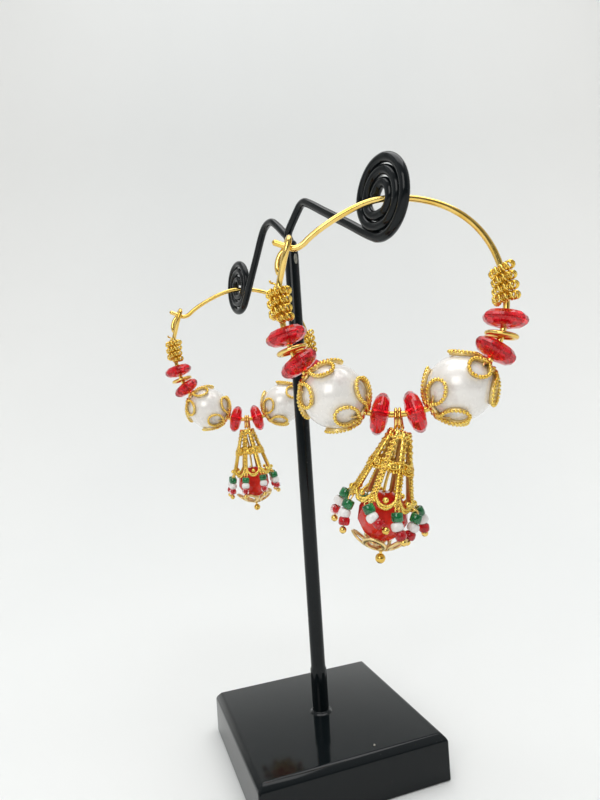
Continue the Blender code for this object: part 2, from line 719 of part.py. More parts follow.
def build_earring(side):
    arm = ARMS[side]
    out = arm["spiral_out"] + HOOP_SEAT_OUT
    seat = Vector((arm["side"] * out, -arm["side"] * ARM_STAGGER, arm["spiral_up"] - HOOP_SEAT_DOWN))
    matrix = Matrix.Translation(seat) @ Matrix.Rotation(HOOP_TURNS[side], 4, "Z")
    hoop = add_empty(f"{side}_earring", matrix)
    build_hoop(side, hoop)
    build_drop(side, hoop)


clear_scene()
PARTS = bpy.data.collections.new("jhumka_earrings_on_stand")
bpy.context.scene.collection.children.link(PARTS)
MATERIALS = {name: make_material(name, *finish) for name, finish in FINISHES.items()}
SHARED = {
    "saucer": saucer_mesh(),
    "ring": ring_mesh(),
    "pearl": pearl_mesh(),
    "pearl_cap": pearl_cap_mesh(),
    "bell": bell_mesh(),
    "bead": bead_mesh(),
    "cup": cup_mesh(),
    "dangle": dangle_mesh(),
}
build_stand()
for side_name in HOOP_TURNS:
    build_earring(side_name)
bpy.context.view_layer.update()
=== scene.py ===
"""A pair of jhumka hoop earrings on a black wire display stand: looks and studio.

Lengths are in metres. In an earring's own frame X runs to the right along the hoop, Y away from
the viewer and Z up, from the hoop's top. Strung pieces have Z along the hoop's wire.
"""
import math
import random

import bmesh
import bpy
import numpy as np
from mathutils import Matrix, Vector


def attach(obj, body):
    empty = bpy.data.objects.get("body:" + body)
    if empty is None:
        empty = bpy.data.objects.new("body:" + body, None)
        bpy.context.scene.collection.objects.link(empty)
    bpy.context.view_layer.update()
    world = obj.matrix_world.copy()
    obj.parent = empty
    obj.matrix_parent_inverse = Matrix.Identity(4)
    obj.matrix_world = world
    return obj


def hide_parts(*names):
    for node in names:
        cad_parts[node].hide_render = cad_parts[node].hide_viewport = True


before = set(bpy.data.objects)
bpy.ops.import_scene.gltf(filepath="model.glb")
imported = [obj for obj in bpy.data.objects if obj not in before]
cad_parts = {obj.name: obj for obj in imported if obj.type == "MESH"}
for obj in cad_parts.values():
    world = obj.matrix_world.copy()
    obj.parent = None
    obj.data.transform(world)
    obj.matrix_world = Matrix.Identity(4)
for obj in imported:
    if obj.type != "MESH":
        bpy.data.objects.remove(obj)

MM = 0.001
UP = Vector((0, 0, 1))
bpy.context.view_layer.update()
SCENE = bpy.context.scene
CHANCE = random.Random(7)


# Meshes

# Width of a wire's ends, in shares of its width, and place of a ball's end rings, in shares of a step
WIRE_TIP = 0.45
POLE_RING = 0.35
# Half of a granule's outline, in shares of its radius
GRAIN_PROFILE = [(0.5, 0.86), (0.95, 0.3), (0.95, -0.3), (0.5, -0.86)]


class Form:
    """Points and faces gathered from several shapes, made into one object."""

    def __init__(self):
        self.points = []
        self.faces = []
        self.smooth = []
        self.count = 0

    def add(self, points, faces, smooth=True, matrix=None):
        places = np.asarray(points, dtype=float).reshape(-1, 3)
        if matrix is not None:
            grid = np.array(matrix)
            places = places @ grid[:3, :3].T + grid[:3, 3]
        self.points.append(places)
        self.faces += [tuple(corner + self.count for corner in face) for face in faces]
        self.smooth += [smooth] * len(faces)
        self.count += len(places)
        return self

    def object(self, name, material, matrix=None):
        mesh = bpy.data.meshes.new(name)
        places = np.concatenate(self.points)
        mesh.from_pydata(places.tolist(), [], self.faces)
        mesh.polygons.foreach_set("use_smooth", self.smooth)
        if matrix is not None:
            mesh.transform(matrix)
        work = bmesh.new()
        work.from_mesh(mesh)
        bmesh.ops.recalc_face_normals(work, faces=work.faces)
        work.to_mesh(mesh)
        work.free()
        mesh.materials.append(material)
        piece = bpy.data.objects.new(name, mesh)
        SCENE.collection.objects.link(piece)
        return piece


def curve_through(points, step, closed=False):
    """Even points on a smooth curve through some points."""
    points = [Vector(point) for point in points]
    count = len(points)
    ways = []
    for index, point in enumerate(points):
        before = points[index - 1] if closed or index > 0 else point * 2 - points[1]
        after = points[(index + 1) % count] if closed or index < count - 1 else point * 2 - points[index - 1]
        arrive = (point - before).length
        leave = (after - point).length
        lean = (point - before) * (leave / arrive) + (after - point) * (arrive / leave)
        ways.append(lean / (arrive + leave))
    fine = []
    for span in range(count if closed else count - 1):
        near = points[span]
        far = points[(span + 1) % count]
        length = (far - near).length
        start = ways[span] * length
        end = ways[(span + 1) % count] * length
        parts = max(2, math.ceil(length / step))
        for part in range(parts):
            t = part / parts
            fine.append(near * (2 * t ** 3 - 3 * t * t + 1) + start * (t ** 3 - 2 * t * t + t)
                        + far * (3 * t * t - 2 * t ** 3) + end * (t ** 3 - t * t))
    if not closed:
        fine.append(points[-1])
    return fine


def rails(points, closed, guides):
    """Two directions across a route at each of its points."""
    route = np.array([tuple(point) for point in points])
    count = len(route)
    if closed:
        along = np.roll(route, -1, axis=0) - np.roll(route, 1, axis=0)
    else:
        along = np.gradient(route, axis=0)
    along /= np.linalg.norm(along, axis=1)[:, None]
    first = np.zeros_like(route)
    if guides is not None:
        first[:] = np.array([tuple(guide) for guide in guides])
    else:
        seed = np.array((0.31, 0.17, 0.93))
        first[0] = seed - along[0] * (seed @ along[0])
        first[0] /= np.linalg.norm(first[0])
        for i in range(1, count):
            first[i] = first[i - 1] - along[i] * (first[i - 1] @ along[i])
            first[i] /= np.linalg.norm(first[i])
    first -= along * np.sum(first * along, axis=1)[:, None]
    first /= np.linalg.norm(first, axis=1)[:, None]
    return route, first, np.cross(along, first)


def ring_faces(rows, sides, closed, ends=True):
    """Quads between rings of points; closed joins the last ring to the first, open ones get end faces."""
    faces = []
    for row in range(rows if closed else rows - 1):
        here, there = row * sides, (row + 1) % rows * sides
        for side in range(sides):
            after = (side + 1) % sides
            faces.append((here + side, here + after, there + after, there + side))
    if ends and not closed:
        faces.append(tuple(range(sides - 1, -1, -1)))
        faces.append(tuple(range((rows - 1) * sides, rows * sides)))
    return faces


def sweep(points, section, closed=False, guides=None, scales=None):
    """A section carried along a route; its first axis points along the guides."""
    route, first, second = rails(points, closed, guides)
    shape = np.asarray(section)
    places = first[:, None, :] * shape[None, :, 0:1] + second[:, None, :] * shape[None, :, 1:2]
    if scales is not None:
        places *= np.asarray(scales)[:, None, None]
    places += route[:, None, :]
    return places.reshape(-1, 3), ring_faces(len(route), len(shape), closed)


def round_section(radius, sides):
    return [(radius * math.cos(2 * math.pi * i / sides), radius * math.sin(2 * math.pi * i / sides))
            for i in range(sides)]


def wire(points, width, sides, step):
    """Round wire on a smooth curve, with narrowed ends."""
    route = curve_through(points, step)
    ends = [1.0] * len(route)
    ends[0] = ends[-1] = WIRE_TIP
    return sweep(route, round_section(width / 2, sides), scales=ends)


def lathe(profile, sides, stagger=False, closed=False):
    """Turned shape about Z of (radius, height) rings; staggered rings make triangular facets."""
    points = []
    for row, (radius, height) in enumerate(profile):
        shift = 0.5 * (row % 2) if stagger else 0.0
        for side in range(sides):
            angle = 2 * math.pi * (side + shift) / sides
            points.append((radius * math.cos(angle), radius * math.sin(angle), height))
    faces = ring_faces(len(profile), sides, closed)
    if stagger:
        quads = enumerate(faces)
        faces = []
        for index, (a, b, c, d) in quads:
            faces += [(a, b, c), (a, c, d)] if index // sides % 2 else [(a, b, d), (b, c, d)]
    return points, faces


def ball(radius, segments, rings, stretch=1.0):
    """Ball about the origin, drawn out along Z by the stretch."""
    angles = [math.pi * (row + POLE_RING) / (rings - 1 + 2 * POLE_RING) for row in range(rings)]
    return lathe([(radius * math.sin(a), radius * stretch * math.cos(a)) for a in angles], segments)


def ring(radius, width, sides, section):
    """Round ring about Z."""
    profile = [(radius + across, up) for across, up in round_section(width / 2, section)]
    return lathe(profile, sides, closed=True)


def grain(radius):
    """A small granule: a low, round bead of solder."""
    return lathe([(radius * across, radius * up) for across, up in GRAIN_PROFILE], 6)


def heading(angle):
    """Level direction at an angle about Z."""
    return Vector((math.cos(angle), math.sin(angle), 0))


def facing(spot, toward, spin=0.0):
    """Frame at a place with Z in a given direction."""
    return (Matrix.Translation(spot) @ Vector(toward).to_track_quat("Z", "Y").to_matrix().to_4x4()
            @ Matrix.Rotation(spin, 4, "Z"))


def axes_matrix(x, y, z, spot):
    """Frame at a place with three given axes."""
    matrix = Matrix((x, y, z)).transposed().to_4x4()
    matrix.translation = spot
    return matrix


def place(piece, body, slot, *nodes):
    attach(piece, body)
    if nodes:
        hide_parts(*nodes)


def dress(form, cad, word, look, body, slot, matrix=None):
    """Make a form the piece that takes the place of a CAD node and is named after it."""
    place(form.object(f"{cad}_{word}", look, matrix), body, slot, cad)


# Materials

def new_material(name):
    material = bpy.data.materials.new(name)
    material.use_nodes = True
    tree = material.node_tree
    return material, tree, tree.nodes["Principled BSDF"]


def node(tree, kind, values=None, **settings):
    made = tree.nodes.new(kind)
    for key, value in settings.items():
        setattr(made, key, value)
    for key, value in (values or {}).items():
        made.inputs[key].default_value = value
    return made


def noise(tree, scale, detail=3.0, roughness=0.5):
    """Noise over the object's own coordinates; the scale is in cells to the metre."""
    made = node(tree, "ShaderNodeTexNoise", {"Scale": scale, "Detail": detail, "Roughness": roughness})
    tree.links.new(node(tree, "ShaderNodeTexCoord").outputs["Object"], made.inputs["Vector"])
    return made.outputs["Fac"]


def ramp(tree, source, stops):
    made = node(tree, "ShaderNodeValToRGB")
    steps = made.color_ramp.elements
    while len(steps) < len(stops):
        steps.new(0.5)
    for step, (position, color) in zip(steps, stops):
        step.position = position
        step.color = (*color, 1.0)
    tree.links.new(source, made.inputs["Fac"])
    return made.outputs["Color"]


def mapped(tree, source, start, end, low, high):
    """The values from start to end spread from low to high."""
    limits = {"From Min": start, "From Max": end, "To Min": low, "To Max": high}
    made = node(tree, "ShaderNodeMapRange", limits)
    tree.links.new(source, made.inputs["Value"])
    return made.outputs["Result"]


def reach_along(tree, output, direction):
    """How far a texture coordinate reaches along a given direction."""
    made = node(tree, "ShaderNodeVectorMath", {1: direction}, operation="DOT_PRODUCT")
    tree.links.new(node(tree, "ShaderNodeTexCoord").outputs[output], made.inputs[0])
    return made.outputs["Value"]


def surface(name, tone, stops, inputs, polish=None, dents=None):
    """Material with a noise in its colour, and where given one in its roughness and one in its height."""
    material, tree, shader = new_material(name)
    tree.links.new(ramp(tree, noise(tree, *tone), stops), shader.inputs["Base Color"])
    for key, value in inputs.items():
        shader.inputs[key].default_value = value
    if polish:
        pattern, low, high = polish
        tree.links.new(mapped(tree, noise(tree, *pattern), 0.3, 0.7, low, high), shader.inputs["Roughness"])
    if dents:
        pattern, depth = dents
        relief = node(tree, "ShaderNodeBump", {"Strength": 1.0, "Distance": depth})
        tree.links.new(noise(tree, *pattern), relief.inputs["Height"])
        tree.links.new(relief.outputs["Normal"], shader.inputs["Normal"])
    return material


def gold_material(name, light, dark, rough_low, rough_high, depth):
    """Gold plate with slightly uneven colour, polish and surface."""
    return surface(name, (260.0, 4.0), [(0.3, dark), (0.62, light)], {"Metallic": 1.0},
                   ((900.0,), rough_low, rough_high), ((2500.0, 2.0), depth))


def glass_material(name, light, dark, clear, rough, coat=0.0, gloss=0.5):
    """Coloured transparent bead with faint streaks."""
    inputs = {"Transmission Weight": clear, "Roughness": rough, "IOR": 1.5, "Specular IOR Level": gloss,
              "Coat Weight": coat, "Coat Roughness": 0.02}
    return surface(name, (420.0,), [(0.35, dark), (0.65, light)], inputs, dents=((700.0, 2.0), 0.01 * MM))


def black_material(name, rough, speckle, gloss, clean):
    """Gloss black with faint wipe marks and dust."""
    return surface(name, (1500.0, 1.0), [(clean, (0.004, 0.006, 0.007)), (clean + 0.06, speckle)],
                   {"Specular IOR Level": gloss}, ((60.0, 5.0, 0.65), rough, rough * 2.2),
                   ((180.0, 2.0), 0.01 * MM))


GOLD_WIRE = gold_material("gold_wire", (0.90, 0.64, 0.20), (0.76, 0.47, 0.08), 0.08, 0.20, 0.01 * MM)
GOLD_WORK = gold_material("gold_granulated", (0.96, 0.72, 0.18), (0.76, 0.47, 0.06), 0.10, 0.24, 0.02 * MM)
GOLD_PALE = gold_material("gold_pale", (0.92, 0.72, 0.34), (0.76, 0.54, 0.20), 0.26, 0.40, 0.02 * MM)
# Dark dull gold for painted shade: discs and linings in the bell's hollows
GOLD_PAINTED_SHADE = gold_material("gold_painted_shade", (0.60, 0.34, 0.12), (0.40, 0.20, 0.05), 0.32, 0.46, 0.02 * MM)
RED_GLASS = glass_material("red_glass_cut", (0.90, 0.018, 0.03), (0.78, 0.008, 0.02), 0.80, 0.02, 0.0, 0.4)
RED_CENTRE = glass_material("red_bead_cut", (0.93, 0.045, 0.025), (0.82, 0.025, 0.015), 0.40, 0.03, 0.0, 0.4)
RED_SEED = glass_material("red_seed_glass", (0.80, 0.01, 0.02), (0.62, 0.006, 0.012), 0.60, 0.03, 0.2, 0.5)
GREEN_SEED = glass_material("green_seed_glass", (0.0, 0.34, 0.09), (0.0, 0.16, 0.04), 0.50, 0.02, 0.5, 0.6)
WHITE_SEED = glass_material("white_seed_glass", (0.90, 0.88, 0.86), (0.80, 0.77, 0.75), 0.0, 0.14, 0.3)
# Resin pearl: warm white lustre with pinkish grey mottling and shallow dents
PEARL = surface("pearl_lustre", (170.0, 4.0, 0.6),
                [(0.25, (0.62, 0.55, 0.52)), (0.42, (0.86, 0.83, 0.79)), (0.75, (0.92, 0.89, 0.85))],
                {"Metallic": 0.08, "Coat Weight": 0.7, "Coat Roughness": 0.14},
                ((500.0,), 0.20, 0.34), ((230.0,), 0.12 * MM))
BLACK_BASE = black_material("black_acrylic", 0.05, (0.12, 0.12, 0.12), 0.28, 0.80)
BLACK_WIRE = black_material("black_enamel", 0.07, (0.03, 0.03, 0.03), 0.24, 0.76)
# Bare grey primer where the enamel has come off, and paper dust
CHIPPED = surface("chipped_enamel", (1200.0,), [(0.35, (0.16, 0.16, 0.13)), (0.6, (0.34, 0.33, 0.28))],
                  {"Roughness": 0.6})


# Stand

BASE_SIDE = 43.6 * MM
BASE_HEIGHT = 10.3 * MM
BASE_CHAMFER_IN = 1.75 * MM
BASE_CHAMFER_DROP = 1.4 * MM
BASE_TURN = math.radians(-6.8)
BASE_EDGE = 0.42 * MM
BASE_SHARP = math.radians(14)
POST_SIDES = 32
POST_WIDTH = 3.5 * MM
POST_TOP = 125.5 * MM
POST_TAPER = 3.0 * MM
POST_TIP_WIDTH = 2.9 * MM
# The post's thicker foot, and the fillet of glue round it in mm from its wall and from the base
SLEEVE_TOP = 20.6 * MM
SLEEVE_EDGE = 0.6 * MM
SLEEVE_WALL = 0.22 * MM
GLUE_PROFILE = [(-0.05, 0.7), (0.12, 0.35), (0.35, 0.12), (0.8, 0.01), (0.8, -0.05), (-0.1, -0.05)]
# The pale chip on the post and a speck of dust on the base
CHIP_ROWS = 6
CHIP_COLUMNS = 5
CHIP_TURN = math.radians(8)
CHIP_SPREAD = math.radians(17)
CHIP_LOW = 119.6 * MM
CHIP_HEIGHT = 2.4 * MM
SPECK_SPOT = (19.2 * MM, 2.9 * MM, BASE_HEIGHT + 0.05 * MM)
SPECK_SIZE = 0.28 * MM
ARM_WIRE = 2.0 * MM
ARM_ROOT = POST_TOP - 3.0 * MM
ARM_STAGGER = 0.2 * MM
SPIRAL_EYE = 2.8 * MM
SPIRAL_PITCH = 2.14 * MM
SPIRAL_TURNS = 2.25
SPIRAL_STEPS = 48
# Share of each turn in which a spiral keeps its radius
SPIRAL_EVEN = 0.7
ARMS = {
    "front": {"side": 1, "knee_out": -1.3 * MM, "knee_up": POST_TOP + 2.0 * MM, "crest_out": 8.0 * MM,
              "crest_up": POST_TOP + 7.3 * MM, "bend": 4.0 * MM, "spiral_out": 39.8 * MM,
              "spiral_up": POST_TOP - 3.3 * MM},
    "back": {"side": -1, "knee_out": 1.0 * MM, "knee_up": POST_TOP + 0.9 * MM, "crest_out": 13.8 * MM,
             "crest_up": POST_TOP + 10.95 * MM, "bend": 7.0 * MM, "spiral_out": 38.5 * MM,
             "spiral_up": POST_TOP - 3.3 * MM},
}
KNEE_BEND = 2.0 * MM
FILLET_STEPS = 10
# The hook in a spiral's eye, in widths of the wire from its centre
SPIRAL_HOOK = [(1.4, 0.0), (1.32, 0.5), (1.02, 0.98), (0.42, 1.3), (-0.28, 1.22), (-0.85, 0.78),
               (-1.28, 0.28)]


def fillet(before, corner, after, radius):
    """Points of a round bend at a corner of a wire."""
    back = (before - corner).normalized()
    ahead = (after - corner).normalized()
    half = back.angle(ahead) / 2
    centre = corner + (back + ahead).normalized() * radius / math.sin(half)
    start = corner + back * radius / math.tan(half) - centre
    end = corner + ahead * radius / math.tan(half) - centre
    bend = start.angle(end)
    points = []
    for step in range(FILLET_STEPS + 1):
        share = step / FILLET_STEPS
        mix = start * math.sin((1 - share) * bend) + end * math.sin(share * bend)
        points.append(centre + mix / math.sin(bend))
    return points


def spiral_radius(turns):
    """Centre line radius after some turns; each step inwards takes the last part of a turn."""
    whole = math.floor(turns)
    share = min(max((turns - whole - SPIRAL_EVEN) / (1 - SPIRAL_EVEN), 0.0), 1.0)
    eased = share * share * (3 - 2 * share)
    return SPIRAL_EYE + SPIRAL_PITCH * (2 - whole - eased)


def arm_points(arm):
    """Centre line of one arm, from inside the post to the hook in its spiral."""
    side = arm["side"]
    root = Vector((0, 0, ARM_ROOT))
    knee = Vector((arm["knee_out"], 0, arm["knee_up"]))
    crest = Vector((arm["crest_out"], 0, arm["crest_up"]))
    centre = Vector((arm["spiral_out"], 0, arm["spiral_up"]))
    reach = centre - crest
    outer = spiral_radius(0)
    entry = math.atan2(reach.z, reach.x) - math.asin(outer / reach.length) - math.pi / 2
    touch = centre + Vector((math.cos(entry), 0, math.sin(entry))) * outer
    points = [root]
    points += fillet(root, knee, crest, KNEE_BEND)
    points += fillet(knee, crest, touch, arm["bend"])
    leave = points[-1]
    points += [leave.lerp(touch, share) for share in (0.33, 0.67, 1.0)]
    first = entry / (2 * math.pi) + 0.25
    for step in range(1, int((SPIRAL_TURNS - first) * SPIRAL_STEPS)):
        turns = first + step / SPIRAL_STEPS
        angle = 2 * math.pi * (turns - 0.25)
        around = Vector((math.cos(angle), 0, math.sin(angle)))
        points.append(centre + around * spiral_radius(max(turns, 0.0)))
    points += [centre + Vector((out, 0, up)) * ARM_WIRE for out, up in SPIRAL_HOOK]
    return [(point.x * side, -ARM_STAGGER * side, point.z) for point in points]


def build_base():
    """Polished foot with crisp edges and a small fillet of glue round the post."""
    mesh = bpy.data.meshes.new("foot")
    work = bmesh.new()
    side_height = BASE_HEIGHT - BASE_CHAMFER_DROP
    bmesh.ops.create_cube(work, size=1.0)
    bmesh.ops.scale(work, verts=work.verts, vec=(BASE_SIDE, BASE_SIDE, side_height))
    bmesh.ops.translate(work, verts=work.verts, vec=(0, 0, side_height / 2))
    work.normal_update()
    top = [face for face in work.faces if face.normal.z > 0.5]
    bmesh.ops.inset_region(work, faces=top, thickness=BASE_CHAMFER_IN)
    bmesh.ops.translate(work, verts=top[0].verts, vec=(0, 0, BASE_CHAMFER_DROP))
    bmesh.ops.bevel(work, geom=work.edges, offset=BASE_EDGE, segments=3, profile=0.5, affect="EDGES")
    work.to_mesh(mesh)
    work.free()
    mesh.transform(Matrix.Rotation(BASE_TURN, 4, "Z"))
    mesh.materials.append(BLACK_BASE)
    mesh.shade_smooth()
    mesh.set_sharp_from_angle(angle=BASE_SHARP)
    foot = bpy.data.objects.new("base_block", mesh)
    SCENE.collection.objects.link(foot)
    place(foot, "stand", "black_acrylic", "stand_base")
    wall = POST_WIDTH / 2 + SLEEVE_WALL
    profile = [(wall + across * MM, up * MM) for across, up in GLUE_PROFILE]
    form = Form().add(*lathe(profile, POST_SIDES, closed=True))
    glue = form.object("post_glue", BLACK_BASE, Matrix.Translation((0, 0, BASE_HEIGHT)))
    place(glue, "stand", "black_acrylic")


def build_frame():
    """Enamelled post and arms, the chip in the enamel and a speck of dust."""
    radius = POST_WIDTH / 2
    sleeve = radius + SLEEVE_WALL
    tip = POST_TIP_WIDTH / 2
    shoulder = POST_TOP - POST_TAPER
    profile = [(0.4 * MM, POST_TOP + 0.1 * MM), (tip - 0.3 * MM, POST_TOP), (tip, POST_TOP - 0.4 * MM),
               (radius - 0.05 * MM, shoulder), (radius, shoulder - 1.0 * MM),
               (radius, SLEEVE_TOP + 2 * SLEEVE_EDGE), (radius, SLEEVE_TOP + SLEEVE_EDGE),
               (sleeve, SLEEVE_TOP), (sleeve, SLEEVE_TOP - SLEEVE_EDGE), (sleeve, BASE_HEIGHT + SLEEVE_EDGE),
               (sleeve, BASE_HEIGHT + 0.02 * MM)]
    form = Form().add(*lathe(profile, POST_SIDES))
    for arm in ARMS.values():
        form.add(*wire(arm_points(arm), ARM_WIRE, 16, 0.7 * MM))
    place(form.object("post_and_arms", BLACK_WIRE), "stand", "black_enamel", "stand_frame")
    points = []
    proud = radius + 0.03 * MM
    for row in range(CHIP_ROWS + 1):
        wide = CHIP_SPREAD * math.sqrt(1 - (2 * row / CHIP_ROWS - 1) ** 2 * 0.8)
        for column in range(CHIP_COLUMNS + 1):
            angle = CHIP_TURN + wide * (2 * column / CHIP_COLUMNS - 1)
            points.append((proud * math.cos(angle), proud * math.sin(angle),
                           CHIP_LOW + CHIP_HEIGHT * row / CHIP_ROWS))
    across = CHIP_COLUMNS + 1
    corners = [row * across + column for row in range(CHIP_ROWS) for column in range(CHIP_COLUMNS)]
    faces = [(corner, corner + 1, corner + across + 1, corner + across) for corner in corners]
    place(Form().add(points, faces).object("post_chip", CHIPPED), "stand", "black_enamel")
    speck = Form().add(*grain(SPECK_SIZE))
    place(speck.object("base_speck", CHIPPED, Matrix.Translation(SPECK_SPOT)), "stand", "black_acrylic")


# Hoop and what is strung on it

HOOP_HALF_WIDTH = 20.6 * MM
HOOP_HALF_HEIGHT = 19.93 * MM
HOOP_WIRE = 1.2 * MM
CLEAR = 0.3 * MM
WIRE_GAP = 0.1 * MM
HOOP_STEP = 1.1 * MM
# Where the wire leaves its oval: degrees from the bottom, spread to each side and distance outwards
HOOP_BENDS = [(135, 45, 0.55 * MM), (208, 30, -0.62 * MM), (-115, 28, 0.9 * MM), (-68, 40, -0.6 * MM)]
EYE_LEAN = math.radians(19)
EYE_STEM_UP = 6.0 * MM
EYE_HEIGHT = 8.6 * MM
# The eye's tail and its root: share of the eye's height, wires to the left and wires behind
EYE_TAIL = [(0.18, 0.45, 1.1), (0.34, 1.15, 1.0), (0.58, 1.35, 1.25)]
EYE_ROOT = [(0.50, 0.0, -1.0625), (0.25, 0.0, -0.4375)]
PIN_CUT = 15.4 * MM
PIN_DIP = 2.0 * MM
PIN_REACH = 5.9 * MM
PIN_RISE = 1.0 * MM
COIL_LENGTH = 8.2 * MM
COIL_TURNS = 3.7
COIL_STRAND = 1.8 * MM
SPRING_WIRE = 0.42 * MM
SPRING_PITCH = 0.78 * MM
COIL_STEPS = 40
SPRING_STEPS = 11
COIL_STARTS = {-1: 0.6, 1: 2.4}
# The curled loose end of each coil, in mm from the coil's start, tip first
COIL_ENDS = {
    -1: [(-0.65, -0.3, 0.55), (-0.5, -0.3, 0.15)],
    1: [(-0.9, -0.4, 0.5), (-1.3, -0.5, 0.0), (-0.8, -0.4, -0.45)],
}
SAUCER_WIDTH = 8.0 * MM
SAUCER_THICKNESS = 3.3 * MM
SAUCER_SIDES = 12
# Half of a saucer's outline from its bore out, in shares of its radius and of half its thickness
SAUCER_CUT = [(0.18, 0.92), (0.36, 1.0), (0.74, 0.80), (0.94, 0.42), (1.0, 0.10)]
SAUCER_TILTS = {"upper": 0.0, "lower": math.radians(-7), "inner": math.radians(6)}
RING_WIDTH = 6.1 * MM
RING_THICKNESS = 0.9 * MM
RING_TILT = math.radians(6)
PEARL_WIDTH = 12.0 * MM
PEARL_BORE = 1.0 * MM
PEARL_ROWS = 40
CAP_WIRE = 0.8 * MM
CAP_HUB_WIDTH = 4.2 * MM
CAP_REACH = math.radians(72)
PETAL_COUNT = 5
PETAL_WIDTH = 4.5 * MM
# Heights of a cap's parts above the pearl, the sizes of its granules and its bands' width and depth
CAP_SEAT = 0.12 * MM
BEADING_RISE = 0.68 * MM
BEADING_PITCH = 0.70 * MM
BEADING_SIZE = 0.34 * MM
PETAL_RISE = 0.36 * MM
PETAL_BAND = (0.32 * MM, 0.72 * MM)
TONGUE_RISE = 0.40 * MM
TONGUE_BAND = (0.72 * MM, 0.5 * MM)
HUB_RISE = 0.55 * MM
HUB_BORE = 0.95 * MM
HUB_GRAINS = 10
HUB_GRAIN = 0.38 * MM
LOOP_ROOM = 3.1 * MM
STRING_SLACK = 0.92 * MM
TILT_ROOM = 0.97 * MM
RING_SLACK = 0.9 * MM
COIL_SLACK = 0.55 * MM
CAP_TURNS = {"left_outer": -36, "left_inner": 22, "right_inner": -28, "right_outer": -10}
HOOP_TURNS = {"front": math.radians(56.2), "back": math.radians(68.0)}
HOOP_SEAT_OUT = 0.45 * MM
HOOP_SEAT_DOWN = 0.35 * MM


def oval_point(angle):
    """Point of the hoop's centre line: an oval with the wire's own slight bends."""
    point = Vector((HOOP_HALF_WIDTH * math.sin(angle), 0, -HOOP_HALF_HEIGHT * (1 + math.cos(angle))))
    for centre, spread, out in HOOP_BENDS:
        away = (math.degrees(angle) - centre) / spread
        if abs(away) < 1:
            share = (1 + math.cos(math.pi * away)) / 2
            point += Vector((math.sin(angle), 0, -math.cos(angle))) * out * share
    return point


def ellipse_place(angle):
    """Point, direction along the wire and outward direction; the angle counts from the bottom."""
    step = math.radians(1)
    along = (oval_point(angle + step) - oval_point(angle - step)).normalized()
    return oval_point(angle), along, Vector((along.z, 0, -along.x))


def hoop_place(arc):
    angle = 0.0
    travelled = 0.0
    step = math.radians(0.1)
    while travelled < abs(arc):
        travelled += step * math.hypot(HOOP_HALF_WIDTH * math.cos(angle), HOOP_HALF_HEIGHT * math.sin(angle))
        angle += step
    return ellipse_place(math.copysign(angle, arc))


def strung_matrix(arc):
    """Frame of a bead on the hoop: Z along the wire, X towards the viewer, Y outwards."""
    point, along, outward = hoop_place(arc)
    return axes_matrix(outward.cross(along), outward, along, point)


def cap_height():
    return PEARL_WIDTH / 2 + CLEAR + CAP_WIRE


def pearl_bow():
    return cap_height() ** 2 / (2 * HOOP_HALF_HEIGHT)


def string_places():
    """Distance of each strung piece from the hoop's lowest point."""
    half = SAUCER_THICKNESS / 2
    inner = LOOP_ROOM / 2 + half
    pearl = inner + half + STRING_SLACK + cap_height() - CAP_WIRE / 2
    lower = pearl + cap_height() - CAP_WIRE / 2 + TILT_ROOM + half
    spacer = lower + half + RING_SLACK + RING_THICKNESS / 2
    upper = 2 * spacer - lower
    coil = upper + half + COIL_SLACK + COIL_LENGTH / 2
    return {"inner": inner, "pearl": pearl, "lower": lower, "ring": spacer, "upper": upper, "coil": coil}


def hoop_points():
    """Wire from the folded end of the eye, round the hoop, to the tip of the pin."""
    stem = math.acos(max(-1.0, -EYE_STEM_UP / HOOP_HALF_HEIGHT))
    foot = ellipse_place(-stem)[0]
    up = Vector((math.sin(EYE_LEAN), 0, math.cos(EYE_LEAN)))
    left = Vector((-math.cos(EYE_LEAN), 0, math.sin(EYE_LEAN)))
    behind = Vector((0, 1, 0))
    eye_radius = HOOP_WIRE + CLEAR
    middle = foot + up * (EYE_HEIGHT - eye_radius)

    def beside(spots):
        return [foot + up * high * EYE_HEIGHT + left * aside * HOOP_WIRE + behind * back * HOOP_WIRE
                for high, aside, back in spots]

    points = beside(EYE_TAIL)
    for step in range(9):
        angle = math.pi * step / 8
        across = left * 0.4 * HOOP_WIRE * (1 + math.cos(angle)) + behind * eye_radius * math.cos(angle)
        points.append(middle + across + up * eye_radius * math.sin(angle))
    points += beside(EYE_ROOT)
    cut = math.pi + math.asin(PIN_CUT / HOOP_HALF_WIDTH)
    count = round((stem + cut) * HOOP_HALF_WIDTH / HOOP_STEP)
    for step in range(count + 1):
        points.append(ellipse_place(-stem + (stem + cut) * step / count)[0])
    end = ellipse_place(cut)[0]
    points.append(end + Vector((-PIN_DIP, 0, -0.35 * PIN_DIP)))
    points.append(middle + left * 0.1 * HOOP_WIRE - up * 0.15 * HOOP_WIRE)
    points.append(end + Vector((-PIN_REACH, 0, PIN_RISE)))
    return points


